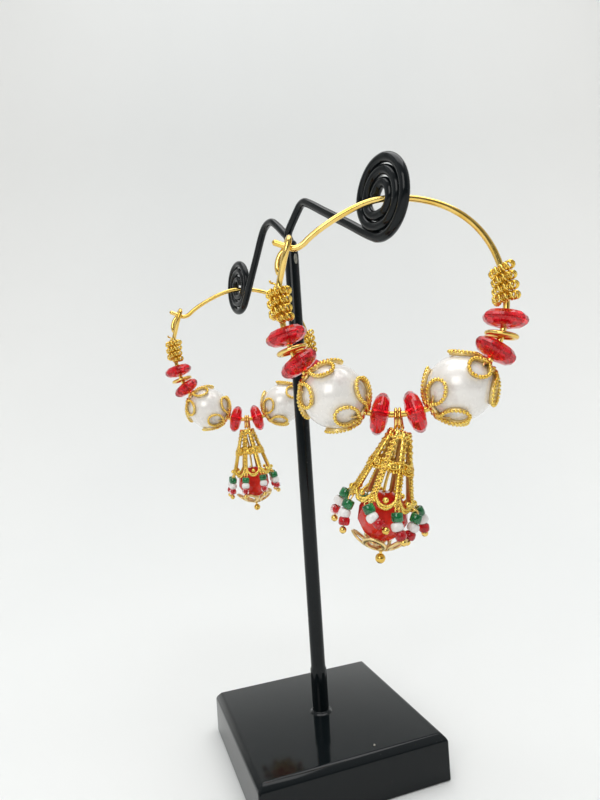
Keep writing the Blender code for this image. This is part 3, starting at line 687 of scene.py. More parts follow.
def coil_form(arc, hand):
    """Fine spring wound round the hoop, with a loose end at one side."""
    reach = HOOP_WIRE / 2 + WIRE_GAP + COIL_STRAND / 2
    spring = (COIL_STRAND - SPRING_WIRE) / 2
    run = COIL_LENGTH - COIL_STRAND
    steps = round(COIL_TURNS * COIL_STEPS)
    centres = []
    for step in range(steps + 1):
        share = step / steps
        point, _, outward = hoop_place(arc + run * (share - 0.5))
        angle = 2 * math.pi * COIL_TURNS * share + COIL_STARTS[hand]
        wander = 1.0 + 0.05 * math.sin(2.3 * angle)
        around = outward * math.cos(angle) + Vector((0, math.sin(angle), 0))
        centres.append(point + around * reach * wander)
    tables = rails(centres, False, None)
    lengths = np.linalg.norm(np.diff(tables[0], axis=0), axis=1)
    lengths = np.concatenate(([0.0], np.cumsum(lengths)))
    count = int(lengths[-1] / SPRING_PITCH * SPRING_STEPS)
    spots = np.linspace(0, lengths[-1], count)
    middle, first, second = [np.stack([np.interp(spots, lengths, column) for column in table.T], axis=1)
                             for table in tables]
    turn = 2 * math.pi * np.arange(count)[:, None] / SPRING_STEPS
    strand = middle + (first * np.cos(turn) + second * np.sin(turn)) * spring
    points = [Vector(point) for point in strand]
    loose = [points[0] + Vector(shift) * MM for shift in COIL_ENDS[hand]]
    points = curve_through(loose + points[:1], 0.15 * MM)[:-1] + points
    return Form().add(*sweep(points, round_section(SPRING_WIRE / 2, 6)))


def saucer_form():
    """Cut saucer bead: table, two rows of facets and a blunt rim on each side of its bore."""
    upper = [(out * SAUCER_WIDTH / 2, up * SAUCER_THICKNESS / 2) for out, up in SAUCER_CUT]
    profile = upper + [(radius, -height) for radius, height in reversed(upper)]
    return Form().add(*lathe(profile, SAUCER_SIDES, closed=True), smooth=False)


def pearl_form():
    radius = PEARL_WIDTH / 2
    mouth = math.asin(PEARL_BORE / radius)
    angles = [mouth + (math.pi - 2 * mouth) * row / PEARL_ROWS for row in range(PEARL_ROWS + 1)]
    profile = [(radius * math.sin(angle), radius * math.cos(angle)) for angle in angles]
    return Form().add(*lathe(profile, 64, closed=True))


# Half of a petal's outline: along it from hub to tip, and across it from its middle line
PETAL_OUTLINE = [(0.0, 0.0), (0.14, 0.16), (0.28, 0.40), (0.42, 0.78), (0.60, 1.0), (0.78, 0.94),
                 (0.93, 0.58), (1.0, 0.0)]


def on_sphere(radius, polar, azimuth):
    out = math.sin(polar)
    return Vector((out * math.cos(azimuth), out * math.sin(azimuth), math.cos(polar))) * radius


def petal_route(sphere, reach, start, width, turn, lift, step):
    """Closed route of one petal and the outward direction at each of its points."""
    half = PETAL_OUTLINE
    outline = half + [(along, -across) for along, across in reversed(half[1:-1])]
    corners = []
    for along, across in outline:
        polar = start + (reach - start) * along
        azimuth = turn + across * width / 2 / (sphere * max(math.sin(polar), 0.25))
        rise = lift * max(0.0, along - 0.35) ** 2 / 0.42
        corners.append(on_sphere(sphere + rise, polar, azimuth))
    route = curve_through(corners, step, closed=True)
    return route, [point.normalized() for point in route]


def band_section(width, depth):
    """Flat band that stands on edge; its first axis points outwards."""
    half, deep = width / 2, depth / 2
    return [(deep, -half), (deep, half), (-deep, half), (-deep, -half)]


def bead_row(form, route, out, pitch, radius):
    """Row of slanting granules along a closed route."""
    count = len(route)
    lengths = [(route[(i + 1) % count] - route[i]).length for i in range(count)]
    whole = sum(lengths)
    number = round(whole / pitch)
    travelled = 0.0
    placed = 0
    for i in range(count):
        if placed < number and travelled >= placed * whole / number:
            along = (route[(i + 1) % count] - route[i]).normalized()
            across = along.cross(out[i])
            form.add(*ball(radius, 8, 6, 1.1), matrix=facing(route[i], across + along * 0.5))
            placed += 1
        travelled += lengths[i]


def cap_forms(seed):
    """Pearl cap: five looped petals with a beaded edge, on plain bands with a tongue in each and a hub."""
    chance = random.Random(seed)
    beading = Form()
    bands = Form()
    inner = PEARL_WIDTH / 2 + CAP_SEAT
    start = math.asin((CAP_HUB_WIDTH / 2 - 0.6 * MM) / inner)
    for petal in range(PETAL_COUNT):
        turn = 2 * math.pi * petal / PETAL_COUNT + chance.uniform(-0.05, 0.05)
        lift = chance.uniform(0.0, 0.13) * MM
        width = (PETAL_WIDTH - 0.55 * MM) * chance.uniform(0.97, 1.05)
        reach = CAP_REACH * chance.uniform(0.96, 1.0)
        route, out = petal_route(inner + BEADING_RISE, reach, start, width, turn, lift, 0.12 * MM)
        bead_row(beading, route, out, BEADING_PITCH, BEADING_SIZE)
        route, out = petal_route(inner + PETAL_RISE, reach, start, width, turn, lift, 0.35 * MM)
        bands.add(*sweep(route, band_section(*PETAL_BAND), closed=True, guides=out))
        tongue = []
        for share in (0.0, 0.25, 0.5, 0.75, 1.0):
            polar = start + (reach - start) * (0.02 + 0.46 * share)
            sway = 0.10 * math.sin(3.2 * share) * (1 if petal % 2 else -1)
            tongue.append(on_sphere(inner + TONGUE_RISE, polar, turn + sway))
        tongue = curve_through(tongue, 0.3 * MM)
        out = [point.normalized() for point in tongue]
        thin = [1.0 - 0.65 * i / (len(tongue) - 1) for i in range(len(tongue))]
        bands.add(*sweep(tongue, band_section(*TONGUE_BAND), guides=out, scales=thin))
    hub = CAP_HUB_WIDTH / 2
    top = inner + HUB_RISE
    profile = [(HUB_BORE, top + 0.1 * MM), (hub * 0.8, top), (hub, top - 0.5 * MM), (hub, top - 0.85 * MM),
               (HUB_BORE, top - 0.45 * MM)]
    bands.add(*lathe(profile, 30, closed=True))
    for index in range(HUB_GRAINS):
        angle = 2 * math.pi * index / HUB_GRAINS
        spot = heading(angle) * hub * 0.86 + UP * (top - 0.1 * MM)
        beading.add(*grain(HUB_GRAIN), matrix=Matrix.Translation(spot))
    return beading, bands


def build_hoop(side, hoop):
    places = string_places()
    hoop_wire = Form().add(*wire(hoop_points(), HOOP_WIRE, 14, 0.45 * MM))
    place(hoop_wire.object(f"{side}_hoop_round", GOLD_WIRE, hoop), "stand", "gold", f"{side}_hoop_wire")
    for end, hand in (("left", -1), ("right", 1)):
        coil = coil_form(hand * places["coil"], hand)
        dress(coil, f"{side}_coil_{end}", "spring", GOLD_WORK, "stand", "gold", hoop)
        for index, level in enumerate(("upper", "lower", "inner")):
            tilt = Matrix.Rotation(hand * SAUCER_TILTS[level], 4, "X")
            spin = Matrix.Rotation(0.3 + 0.9 * index + hand, 4, "Z")
            matrix = hoop @ strung_matrix(hand * places[level]) @ tilt @ spin
            name = f"{side}_saucer_{end}_{level}"
            dress(saucer_form(), name, "cut", RED_GLASS, "stand", "red_glass", matrix)
        matrix = hoop @ strung_matrix(hand * places["ring"]) @ Matrix.Rotation(hand * RING_TILT, 4, "X")
        spacer = Form().add(*ring((RING_WIDTH - RING_THICKNESS) / 2, RING_THICKNESS, 48, 12))
        dress(spacer, f"{side}_ring_{end}", "round", GOLD_WIRE, "stand", "gold", matrix)
        matrix = hoop @ strung_matrix(hand * places["pearl"]) @ Matrix.Translation((0, -pearl_bow() / 2, 0))
        dress(pearl_form(), f"{side}_pearl_{end}", "round", PEARL, "stand", "pearl", matrix)
        for seed, (cap, pole) in enumerate((("inner", -hand), ("outer", hand))):
            spin = Matrix.Rotation(math.radians(CAP_TURNS[f"{end}_{cap}"]), 4, "Z")
            turn = Matrix.Rotation(0.0 if pole > 0 else math.pi, 4, "X")
            beading, bands = cap_forms(seed + hand * 3)
            name = f"{side}_cap_{end}_{cap}"
            dress(beading, name, "beading", GOLD_WORK, "stand", "gold", matrix @ spin @ turn)
            dress(bands, name, "bands", GOLD_PALE, "stand", "gold", matrix @ spin @ turn)


# Drop

LOOP_WIRE = 0.6 * MM
LOOP_TURNS = 2
LOOP_PITCH = 0.7 * MM
LOOP_STEPS = 20
BELL_LENGTH = 13.5 * MM
BELL_TOP_WIDTH = 4.6 * MM
BELL_RIM_WIDTH = 12.2 * MM
BELL_WALL = 0.45 * MM
BELL_RIBS = 8
BAY = 2 * math.pi / BELL_RIBS
RIB_WIDTH = 1.2 * MM
RIB_TURN = math.radians(27)
RIB_STEPS = 24
# Rows of rings down a rib, each with a disc of painted shade in its hole and a pair of studs below it
ROW_COUNT = 11
ROW_START = 1.7
ROW_PITCH = 1.12
PIT_RING = 0.33 * MM
PIT_RING_WIRE = 0.22 * MM
SHADE_DISC_SIZE = 0.26 * MM
PAIR_STUD = 0.21 * MM
COARSE_STUD = 0.31 * MM
FINE_STUD = 0.22 * MM
COLLAR_HEIGHT = 1.5 * MM
COLLAR_IN = 0.2 * MM
COLLAR_BORE = 0.5 * MM
ROPE_WIDTH = 0.5 * MM
ROPE_STEP = 0.13 * MM
BAND_PLACE = 5.7 * MM
BAND_HEIGHT = 1.7 * MM
BAND_SAG = 0.45 * MM
BAND_RISE = 0.15 * MM
BAND_COLUMNS = 8
RIM_HEIGHT = 1.7 * MM
# The two granulated loops of a rim scallop: how far they sag, and the size of their granules
SCALLOP_LOOPS = ((2.0 * MM, 0.32 * MM), (1.5 * MM, 0.26 * MM))
SCALLOP_WIRE = 0.46 * MM
SCALLOP_BALL = 0.56 * MM
SCALLOP_ROUND = 2.6
BEAD_WIDTH = 9.4 * MM
BEAD_BORE = 0.45 * MM
BEAD_SIDES = 9
# Degrees from the top pole to each ring of corners
BEAD_ROWS = (20, 46, 73, 100, 127, 154)
BEAD_SEAT = 11.5 * MM
CUP_DROP = 0.9 * MM
CUP_WIRE = 0.6 * MM
CUP_REACH = math.radians(57)
CUP_PETAL_WIDTH = 4.4 * MM
CUP_BAND = (0.68 * MM, 0.42 * MM)
CUP_HUB_WIDTH = 3.2 * MM
CUP_TURN = -20
BALL_WIDTH = 1.9 * MM
SEED_WIDTH = 2.15 * MM
SEED_HEIGHT = 1.65 * MM
SEED_BORE = 0.32 * MM
SEED_BALL = 1.35 * MM
# Width, height and crown of the green, white and red beads
SEED_SIZES = ((SEED_WIDTH, 1.62 * MM, 0.42), (SEED_WIDTH * 1.05, 1.55 * MM, 0.80),
              (SEED_WIDTH * 0.97, 1.55 * MM, 0.75))
SEED_LOOKS = (("green", GREEN_SEED), ("white", WHITE_SEED), ("red", RED_SEED))
# Where the beads and the ball hang on a dangle, in beads from its top
SEED_FALLS = (0.5, 1.5, 2.48)
DANGLE_STANDOFF = 0.8 * MM
DROPS = {
    "front": {"top_right": 0.4 * MM, "top_down": 2.85 * MM, "bell_lean": 19.0, "bead_lean": 7.0},
    "back": {"top_right": -0.15 * MM, "top_down": 2.95 * MM, "bell_lean": -4.0, "bead_lean": -4.0},
}
# Shifts of a dangle's green, white and red beads and its ball, in mm to the right and up, by dangle
DANGLE_SHIFTS = {
    "front": {
        0: [(-0.10, 0.50), (-0.45, 0.50), (-0.20, 0.55), (0.0, 0.90)],
        1: [(0.25, 0.35), (-0.40, 0.45), (-1.15, 0.60), (-1.80, 1.00)],
        2: [(1.35, 0.70), (1.60, 0.80), (1.45, 0.70), (1.20, 1.10)],
        5: [(-0.25, 0.50), (-0.80, 0.60), (-0.95, 0.40), (-0.75, 0.10)],
        6: [(-0.10, -0.50), (-0.45, -0.45), (-0.25, -0.35), (-0.25, -0.40)],
        7: [(-0.25, 0.75), (-0.50, 0.75), (-0.10, 1.10), (0.30, 1.25)],
    },
    "back": {},
}
# Degrees that each dangle leans outwards and on round the bell
DANGLES = {
    "front": [(9, 5), (2, 0), (14, 0), (10, 0), (12, 0), (25, 0), (14, 0), (2, 28)],
    "back": [(8, 0), (12, 4), (10, 0), (14, 0), (10, -5), (12, 0), (8, 5), (10, 0)],
}


def lean_down(degrees):
    """Direction down a line that leans to the left."""
    angle = math.radians(degrees)
    return Vector((-math.sin(angle), 0, -math.cos(angle)))


def drop_places(drop):
    bell_top = Vector((drop["top_right"], 0, -drop["top_down"]))
    bead_top = bell_top + lean_down(drop["bell_lean"]) * BEAD_SEAT
    bead_middle = bead_top + lean_down(drop["bead_lean"]) * BEAD_WIDTH / 2
    return bell_top, bead_top, bead_middle


def leaning_matrix(spot, degrees):
    up = -lean_down(degrees)
    toward = Vector((0, -1, 0))
    return axes_matrix(toward, up.cross(toward), up, spot)


def ball_place():
    return BEAD_WIDTH / 2 + CUP_DROP + 2 * CLEAR + 1.25 * CUP_WIRE + BALL_WIDTH / 2


def head_pin_form(drop):
    """Wire in two long turns round the hoop, down through bell and bead, with its end ball."""
    bell_top, bead_top, bead_middle = drop_places(drop)
    deep = HOOP_WIRE / 2 + WIRE_GAP + LOOP_WIRE / 2
    low = -drop["top_down"] + 0.35 * MM
    middle = (deep + low) / 2
    tall = (deep - low) / 2
    points = []
    for step in range(LOOP_TURNS * LOOP_STEPS + 1):
        angle = 2 * math.pi * step / LOOP_STEPS
        across = LOOP_PITCH * (step / LOOP_STEPS - LOOP_TURNS / 2) + WIRE_GAP
        points.append(Vector((across, -deep * math.sin(angle), middle - tall * math.cos(angle))))
    points.append(bell_top + lean_down(drop["bell_lean"]) * 0.8 * MM)
    points.append(bell_top.lerp(bead_top, 0.5))
    points.append(bead_top)
    end = bead_middle + lean_down(drop["bead_lean"]) * ball_place()
    points.append(bead_top.lerp(end, 0.5))
    points.append(end)
    form = Form().add(*wire(points, LOOP_WIRE, 10, 0.3 * MM))
    return form.add(*ball(BALL_WIDTH / 2, 24, 14), matrix=Matrix.Translation(end))


def cone_radius(down):
    """Outer radius of the bell at a distance below its top."""
    top = BELL_TOP_WIDTH / 2
    slope = (BELL_RIM_WIDTH / 2 - top) / (BELL_LENGTH - COLLAR_HEIGHT)
    return top + slope * max(0.0, down - COLLAR_HEIGHT)


def cone_point(down, angle, proud=0.0):
    radius = cone_radius(down) + proud
    return Vector((radius * math.cos(angle), radius * math.sin(angle), -down))


def cone_out(angle):
    """Outward direction of the bell's wall."""
    slope = math.atan2(BELL_RIM_WIDTH / 2 - BELL_TOP_WIDTH / 2, BELL_LENGTH - COLLAR_HEIGHT)
    level = math.cos(slope)
    return Vector((math.cos(angle) * level, math.sin(angle) * level, math.sin(slope)))


def studs(form, points, out, radius):
    for point in points:
        form.add(*grain(radius * CHANCE.uniform(0.85, 1.15)), matrix=facing(point, out, CHANCE.uniform(0, 6)))


def shade_disc(painted_shade, radius, high, low, sides, seat):
    """Dark gold disc of painted shade in a hollow, such as the hole of a ring."""
    painted_shade.add(*lathe([(radius, high), (radius, low)], sides), matrix=seat)


def bell_form():
    """Granulated bell of studded ribs, collar, ornaments and scallops; and discs and linings of painted
    shade.
    """
    form = Form()
    painted_shade = Form()
    for index in range(BELL_RIBS):
        angle = index * BAY
        out = cone_out(angle)
        aside = Vector((-math.sin(angle), math.cos(angle), 0))
        downs = [0.5 * MM + (BELL_LENGTH - 0.7 * MM) * row / RIB_STEPS for row in range(RIB_STEPS + 1)]
        spine = [cone_point(down, angle, -BELL_WALL / 2) for down in downs]
        # A thin dark sheet inside each rib: painted shade on its inner face
        shade_lining = [point - out * (BELL_WALL / 2 + 0.02 * MM) for point in spine]
        guides = [out] * len(spine)
        form.add(*sweep(spine, band_section(RIB_WIDTH - 0.20 * MM, BELL_WALL), guides=guides))
        painted_shade.add(*sweep(shade_lining, band_section(RIB_WIDTH - 0.24 * MM, 0.06 * MM), guides=guides))
        for row in range(ROW_COUNT):
            down = (ROW_START + ROW_PITCH * row) * MM
            seat = facing(cone_point(down, angle, 0.1 * MM), out)
            form.add(*ring(PIT_RING, PIT_RING_WIRE, 12, 6), matrix=seat)
            # Painted shade: a dark disc in the ring's hole
            shade_disc(painted_shade, SHADE_DISC_SIZE, -0.02 * MM, -0.12 * MM, 8, seat)
            for hand in (-1, 1):
                spot = cone_point(down + 0.56 * MM, angle, 0.08 * MM) + aside * hand * 0.20 * MM
                studs(form, [spot], out, PAIR_STUD)
        for hand in (-1, 1):
            down = 1.5 * MM
            while down < BELL_LENGTH - 0.4 * MM:
                size, pitch = (COARSE_STUD, 3.4) if down < BAND_PLACE + BAND_HEIGHT else (FINE_STUD, 2.6)
                spot = cone_point(down, angle, -0.02 * MM) + aside * hand * (RIB_WIDTH / 2 - 0.12 * MM)
                studs(form, [spot], out, size)
                down += pitch * size
    top = BELL_TOP_WIDTH / 2
    outer = top - COLLAR_IN
    inner = top - BELL_WALL
    profile = [(COLLAR_BORE, -0.1 * MM), (inner, -0.1 * MM), (outer, -0.35 * MM), (outer, -COLLAR_HEIGHT),
               (inner, -COLLAR_HEIGHT), (inner, -0.6 * MM), (COLLAR_BORE, -0.6 * MM)]
    form.add(*lathe(profile, 40, closed=True))
    rope_circle(form, top - 0.22 * MM, -COLLAR_HEIGHT + 0.05 * MM, ROPE_WIDTH)
    for index in range(BELL_RIBS * 2):
        angle = (index + 0.5) * BAY / 2
        size = 0.42 * MM if index % 2 else 0.34 * MM
        spot = heading(angle) * (top - 0.44 * MM) - UP * 0.42 * MM
        form.add(*ball(size, 10, 7), matrix=Matrix.Translation(spot))
    for index in range(BELL_RIBS):
        middle = (index + 0.5) * BAY
        middle_ornament(form, painted_shade, middle)
        rim_scallop(form, painted_shade, middle)
    return form, painted_shade


def rope_circle(form, radius, height, width):
    """Ring about Z of two round strands twisted round each other."""
    count = round(2 * math.pi * radius / ROPE_STEP)
    angles = 2 * math.pi * np.arange(count)[:, None] / count
    out = np.hstack((np.cos(angles), np.sin(angles), np.zeros_like(angles)))
    route = out * radius + np.array((0.0, 0.0, height))
    _, first, second = rails(route, True, out)
    turns = round(2 * math.pi * radius / (1.4 * width))
    for strand in (0.0, math.pi):
        twist = turns * angles + strand
        offset = (first * np.cos(twist) + second * np.sin(twist)) * width * 0.24
        form.add(*sweep(route + offset, round_section(width * 0.28, 6), closed=True, guides=out))


def middle_ornament(form, painted_shade, middle):
    """Shield between two ribs with a ringed ball on it."""
    half = BAY / 2
    low = BAND_PLACE + BAND_HEIGHT

    def sagging(down, share):
        return down + BAND_RISE - BAND_SAG * share * share

    points = []
    for column in range(BAND_COLUMNS + 1):
        share = column / BAND_COLUMNS * 2 - 1
        angle = middle + share * half
        upper = sagging(BAND_PLACE, share)
        lower = sagging(low, share)
        points += [cone_point(upper, angle), cone_point(upper, angle, -BELL_WALL),
                   cone_point(lower, angle, -BELL_WALL), cone_point(lower, angle)]
    form.add(points, ring_faces(BAND_COLUMNS + 1, 4, False, ends=False))
    out = cone_out(middle)
    for down, size in ((BAND_PLACE, 0.25 * MM), (low, 0.30 * MM)):
        spots = [cone_point(sagging(down, share), middle + share * half * 0.80, 0.05 * MM)
                 for share in (-1.0, -0.6, -0.2, 0.2, 0.6, 1.0)]
        studs(form, spots, out, size)
    seat = facing(cone_point((BAND_PLACE + low) / 2, middle, 0.16 * MM), out)
    form.add(*ring(0.52 * MM, 0.34 * MM, 16, 7), matrix=seat)
    form.add(*ball(0.30 * MM, 10, 7), matrix=seat)
    # A dark disc of painted shade in the ring's hole
    shade_disc(painted_shade, 0.42 * MM, -0.02 * MM, -0.12 * MM, 10, seat)


def rim_scallop(form, painted_shade, middle):
    """Two granulated loops that hang between two rib feet, with a ball and a few discs of painted shade."""
    half = BAY / 2
    foot = BELL_LENGTH - RIM_HEIGHT + 0.1 * MM
    out = cone_out(middle)

    def hung(share, width, proud, deep):
        sag = deep * (1 - abs(share) ** SCALLOP_ROUND)
        return cone_point(foot, middle + share * half * width, proud) - UP * sag

    for deep, size in SCALLOP_LOOPS:
        loop = [hung((step - 6) / 6, 0.86, 0.0, deep) for step in range(13)]
        form.add(*wire(loop, SCALLOP_WIRE, 6, 0.3 * MM))
        spots = curve_through(loop, 2.1 * size)[1:-1]
        studs(form, [point + out * 0.2 * MM for point in spots], out, size)
    # A few dark discs of painted shade between the loops
    for step in range(5):
        spot = hung((step - 2) / 2.6, 0.80, 0.24 * MM, 1.75 * MM)
        shade_disc(painted_shade, 0.15 * MM, 0.14 * MM, 0.0, 8, facing(spot, out))
    spot = cone_point(foot + 0.45 * MM, middle, 0.15 * MM)
    form.add(*ball(SCALLOP_BALL, 14, 10), matrix=Matrix.Translation(spot))


def bead_form():
    """Round centre bead cut in rows of triangular facets with a table at each pole."""
    radius = BEAD_WIDTH / 2
    angles = [math.radians(polar) for polar in BEAD_ROWS]
    profile = [(BEAD_BORE, radius * 0.94)]
    profile += [(radius * math.sin(angle), radius * math.cos(angle)) for angle in angles]
    profile.append((BEAD_BORE, -radius * 0.90))
    return Form().add(*lathe(profile, BEAD_SIDES, stagger=True, closed=True), smooth=False)


def cup_form():
    """Bottom cap of five smooth looped petals round a hub, opening along +Z."""
    form = Form()
    sphere = BEAD_WIDTH / 2 + CUP_DROP + CLEAR + CUP_WIRE / 2
    start = math.asin((CUP_HUB_WIDTH / 2 - 0.4 * MM) / sphere)
    wide = CUP_PETAL_WIDTH - CUP_WIRE
    for petal in range(PETAL_COUNT):
        turn = 2 * math.pi * petal / PETAL_COUNT
        route, out = petal_route(sphere, CUP_REACH, start, wide, turn, 0.1 * MM, 0.3 * MM)
        form.add(*sweep(route, band_section(*CUP_BAND), closed=True, guides=out))
    hub = CUP_HUB_WIDTH / 2
    top = sphere + 0.1 * MM
    profile = [(BEAD_BORE, top + 0.15 * MM), (hub * 0.6, top + 0.1 * MM), (hub, top - 0.35 * MM),
               (hub, top - 0.65 * MM), (BEAD_BORE, top - 0.35 * MM)]
    return form.add(*lathe(profile, 30, closed=True))


def seed_form(spot, up, width, height, crown):
    """Rounded bead with a bore; crown is the share of its height that is rounded off."""
    outer = width / 2
    half = height / 2
    rows = []
    for step in range(7):
        angle = math.pi / 2 - math.pi * step / 6
        level = half * (1 - crown) * (1 if angle > 0 else -1 if angle < 0 else 0)
        depth = outer * (1 - 0.55 * crown) + outer * 0.55 * crown * math.cos(angle)
        rows.append((depth, level + half * crown * math.sin(angle)))
    ends = [(0.62 * outer, -half), (SEED_BORE, -half * 0.82)]
    profile = [(radius, -level) for radius, level in reversed(ends)] + rows + ends
    return Form().add(*lathe(profile, 20, closed=True), matrix=facing(spot, up, CHANCE.uniform(0, 6)))


def dangle_matrix(drop, index, lean_out, lean_round):
    """Place of a dangle below the foot of a rib."""
    bell = leaning_matrix(drop_places(drop)[0], drop["bell_lean"])
    angle = RIB_TURN + index * BAY
    reach = max(BEAD_WIDTH / 2 + DANGLE_STANDOFF + SEED_WIDTH / 2, BELL_RIM_WIDTH / 2)
    outward = heading(angle - math.pi / 2)
    onward = heading(angle)
    tilt = outward * math.tan(math.radians(lean_out)) + onward * math.tan(math.radians(lean_round))
    up = (UP - tilt).normalized()
    side = onward.cross(up).normalized()
    below = BELL_LENGTH + CLEAR + SEED_WIDTH / 2 * math.sin(up.angle(bell.col[2].xyz))
    spot = bell @ (onward * reach - UP * below)
    return axes_matrix(up.cross(side), side, up, spot), bell, angle


def build_dangle(side, pivot, hoop, index, leans):
    """Green, white and red seed beads and a gold ball on a fine wire looped to the bell's rim."""
    body = f"{side}_drop"
    name = f"{side}_dangle_{index + 1}"
    matrix, bell, angle = dangle_matrix(DROPS[side], index, *leans)
    matrix = pivot @ matrix
    bell = pivot @ bell
    turn = hoop.to_3x3()
    shifts = DANGLE_SHIFTS[side].get(index, [(0.0, 0.0)] * 4)
    step = SEED_HEIGHT
    falls = [share * step for share in SEED_FALLS] + [3 * step + SEED_BALL / 2]
    spots = [matrix @ Vector((0, 0, -fall)) + turn @ Vector((right, 0, up)) * MM
             for fall, (right, up) in zip(falls, shifts)]
    ways = [(spots[above] - spots[below]).normalized() for above, below in ((0, 1), (0, 2), (1, 3))]
    for (word, look), spot, way, size in zip(SEED_LOOKS, spots, ways, SEED_SIZES):
        sway = Vector([CHANCE.uniform(-0.10, 0.10) for _ in range(3)])
        dress(seed_form(spot, way + sway, *size), name, word, look, body, "seed_beads")
    foot = bell @ cone_point(BELL_LENGTH - 0.5 * MM, angle, -0.1 * MM)
    out = (bell.to_3x3() @ cone_out(angle)).normalized()
    up = ways[0]
    top = spots[0] + up * 0.5 * step
    across = up.cross(out).normalized()
    near, far, rise = across * 0.25 * MM, across * 0.42 * MM, out * 0.1 * MM
    low, high = top - up * 0.4 * MM, top + up * 0.2 * MM
    ear = [low - near, high - far + rise, foot - near + rise, foot + up * 0.1 * MM + near, high + far,
           low + near]
    form = Form().add(*wire(ear, 0.26 * MM, 6, 0.25 * MM))
    form.add(*wire([top - up * 0.1 * MM, *spots], 0.3 * MM, 6, 0.6 * MM))
    form.add(*ball(SEED_BALL / 2, 16, 10), matrix=Matrix.Translation(spots[3]))
    dress(form, name, "pin", GOLD_WIRE, body, "gold")


def build_drop(side, hoop):
    drop = DROPS[side]
    body = f"{side}_drop"
    bell_top, _, bead_middle = drop_places(drop)
    pivot = hoop @ Matrix.Translation(hoop_place(0)[0])
    pin = head_pin_form(drop).object(f"{side}_pin_wire", GOLD_WIRE, pivot)
    place(pin, body, "gold", f"{side}_head_pin")
    matrix = pivot @ leaning_matrix(bell_top, drop["bell_lean"]) @ Matrix.Rotation(RIB_TURN, 4, "Z")
    granulated, painted_shade = bell_form()
    dress(granulated, f"{side}_bell", "granulated", GOLD_WORK, body, "gold", matrix)
    # Dark discs and rib linings: the bell's painted shade
    dress(painted_shade, f"{side}_bell", "painted_shade", GOLD_PAINTED_SHADE, body, "gold", matrix)
    matrix = pivot @ leaning_matrix(bead_middle, drop["bead_lean"])
    dress(bead_form(), f"{side}_centre_bead", "cut", RED_CENTRE, body, "red_glass", matrix)
    matrix = matrix @ Matrix.Rotation(math.radians(CUP_TURN), 4, "Z") @ Matrix.Rotation(math.pi, 4, "X")
    dress(cup_form(), f"{side}_bottom_cap", "petals", GOLD_PALE, body, "gold", matrix)
    for index, leans in enumerate(DANGLES[side]):
        build_dangle(side, pivot, hoop, index, leans)


def build_earring(side):
    arm = ARMS[side]
    out = arm["spiral_out"] + HOOP_SEAT_OUT
    seat = Vector((arm["side"] * out, -arm["side"] * ARM_STAGGER, arm["spiral_up"] - HOOP_SEAT_DOWN))
    hoop = Matrix.Translation(seat) @ Matrix.Rotation(HOOP_TURNS[side], 4, "Z")
    build_hoop(side, hoop)
    build_drop(side, hoop)


# Studio

CAMERA_PITCH = math.radians(0.788)
CAMERA_ROLL = math.radians(-3.720)
CAMERA_TURN = math.radians(63.98)
CAMERA_SPOT = Vector((128.65, -63.05, 84.31)) * MM
CAMERA_SENSOR = 36.0
CAMERA_LENS = 582.57 / 800 * CAMERA_SENSOR
# Directions to the right of the picture, and to the viewer and a little down
PICTURE_RIGHT = (0.439, 0.899, 0.0)
TO_VIEWER = (0.899, -0.439, -0.2)
SWEEP_FRONT = -0.9
SWEEP_START = 0.16
SWEEP_RADIUS = 0.42
SWEEP_STEPS = 24
SWEEP_HALF_WIDTH = 1.6
SWEEP_TOP = 1.8
# Painted shade on the paper: its tone by distance from the middle of the picture, in metres, darker in the
# middle
PAPER_SHADE_TONES = [(0.06, (0.79, 0.80, 0.79)), (0.16, (0.81, 0.82, 0.81)), (0.40, (0.94, 0.94, 0.92))]
PAPER_CLOUDING = 0.04
ROOM_BRIGHT = 0.72
ROOM_DIM = 0.16


def build_camera():
    """Camera where the photograph was taken from."""
    spin = Matrix.Rotation(CAMERA_TURN, 3, "Z")
    ahead = spin @ Vector((0, math.cos(CAMERA_PITCH), math.sin(CAMERA_PITCH)))
    right = spin @ Vector((1, 0, 0))
    up = right.cross(ahead)
    image_right = right * math.cos(CAMERA_ROLL) + up * math.sin(CAMERA_ROLL)
    image_up = -right * math.sin(CAMERA_ROLL) + up * math.cos(CAMERA_ROLL)
    data = bpy.data.cameras.new("camera")
    data.sensor_width = CAMERA_SENSOR
    data.lens = CAMERA_LENS
    data.clip_start = 0.005
    data.clip_end = 10.0
    camera = bpy.data.objects.new("camera", data)
    camera.matrix_world = axes_matrix(image_right, image_up, -ahead, CAMERA_SPOT)
    SCENE.collection.objects.link(camera)
    SCENE.camera = camera


def area_light(name, spot, target, size, power, color=(1, 1, 1)):
    data = bpy.data.lights.new(name, "AREA")
    data.shape = "RECTANGLE"
    data.size, data.size_y = size
    data.energy = power
    data.color = color
    light = bpy.data.objects.new(name, data)
    light.location = spot
    light.rotation_euler = (Vector(target) - Vector(spot)).to_track_quat("-Z", "Y").to_euler()
    SCENE.collection.objects.link(light)


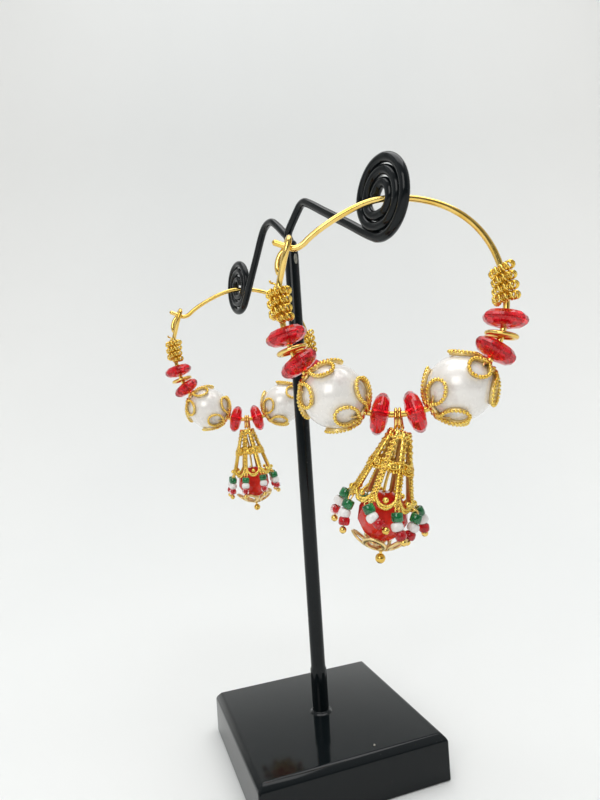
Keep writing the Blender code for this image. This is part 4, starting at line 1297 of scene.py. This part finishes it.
def build_studio():
    """Pale sweep of paper, soft light above, a window, and a room that is dim on the viewer's side."""
    profile = [(SWEEP_FRONT, 0.0), (SWEEP_START, 0.0)]
    for step in range(1, SWEEP_STEPS + 1):
        angle = math.pi / 2 * step / SWEEP_STEPS
        profile.append((SWEEP_START + SWEEP_RADIUS * math.sin(angle), SWEEP_RADIUS * (1 - math.cos(angle))))
    profile.append((SWEEP_START + SWEEP_RADIUS, SWEEP_TOP))
    points = [(side * SWEEP_HALF_WIDTH, along, up - 0.02 * MM) for along, up in profile for side in (-1, 1)]
    faces = [(2 * i, 2 * i + 1, 2 * i + 3, 2 * i + 2) for i in range(len(profile) - 1)]
    material, tree, shader = new_material("pale_paper")
    # Painted shade on the paper: darker towards the middle of the picture, with faint clouding
    aside = node(tree, "ShaderNodeMath", operation="ABSOLUTE")
    tone = node(tree, "ShaderNodeMath", {1: PAPER_CLOUDING}, operation="MULTIPLY_ADD")
    tree.links.new(reach_along(tree, "Object", PICTURE_RIGHT), aside.inputs[0])
    tree.links.new(noise(tree, 9.0), tone.inputs[0])
    tree.links.new(aside.outputs["Value"], tone.inputs[2])
    tree.links.new(ramp(tree, tone.outputs["Value"], PAPER_SHADE_TONES), shader.inputs["Base Color"])
    shader.inputs["Roughness"].default_value = 0.85
    paper = Form().add(points, faces).object("paper_sweep", material, Matrix.Rotation(CAMERA_TURN, 4, "Z"))
    world = bpy.data.worlds.new("dim_room")
    world.use_nodes = True
    tree = world.node_tree
    sky = tree.nodes["Background"]
    front = reach_along(tree, "Generated", TO_VIEWER)
    tree.links.new(mapped(tree, front, -0.1, 0.8, ROOM_BRIGHT, ROOM_DIM), sky.inputs["Strength"])
    sky.inputs["Color"].default_value = (0.97, 0.99, 1.0, 1.0)
    SCENE.world = world
    area_light("top_softbox", (0.03, 0.03, 0.90), (0.0, 0.0, 0.06), (0.84, 0.84), 5.4)
    area_light("window", (0.36, -0.40, 0.34), (0.0, 0.0, 0.08), (0.30, 0.30), 1.0, (1.0, 0.99, 0.97))
    SCENE.view_settings.view_transform = "Standard"


build_camera()
build_studio()
build_base()
build_frame()
for earring in HOOP_TURNS:
    build_earring(earring)
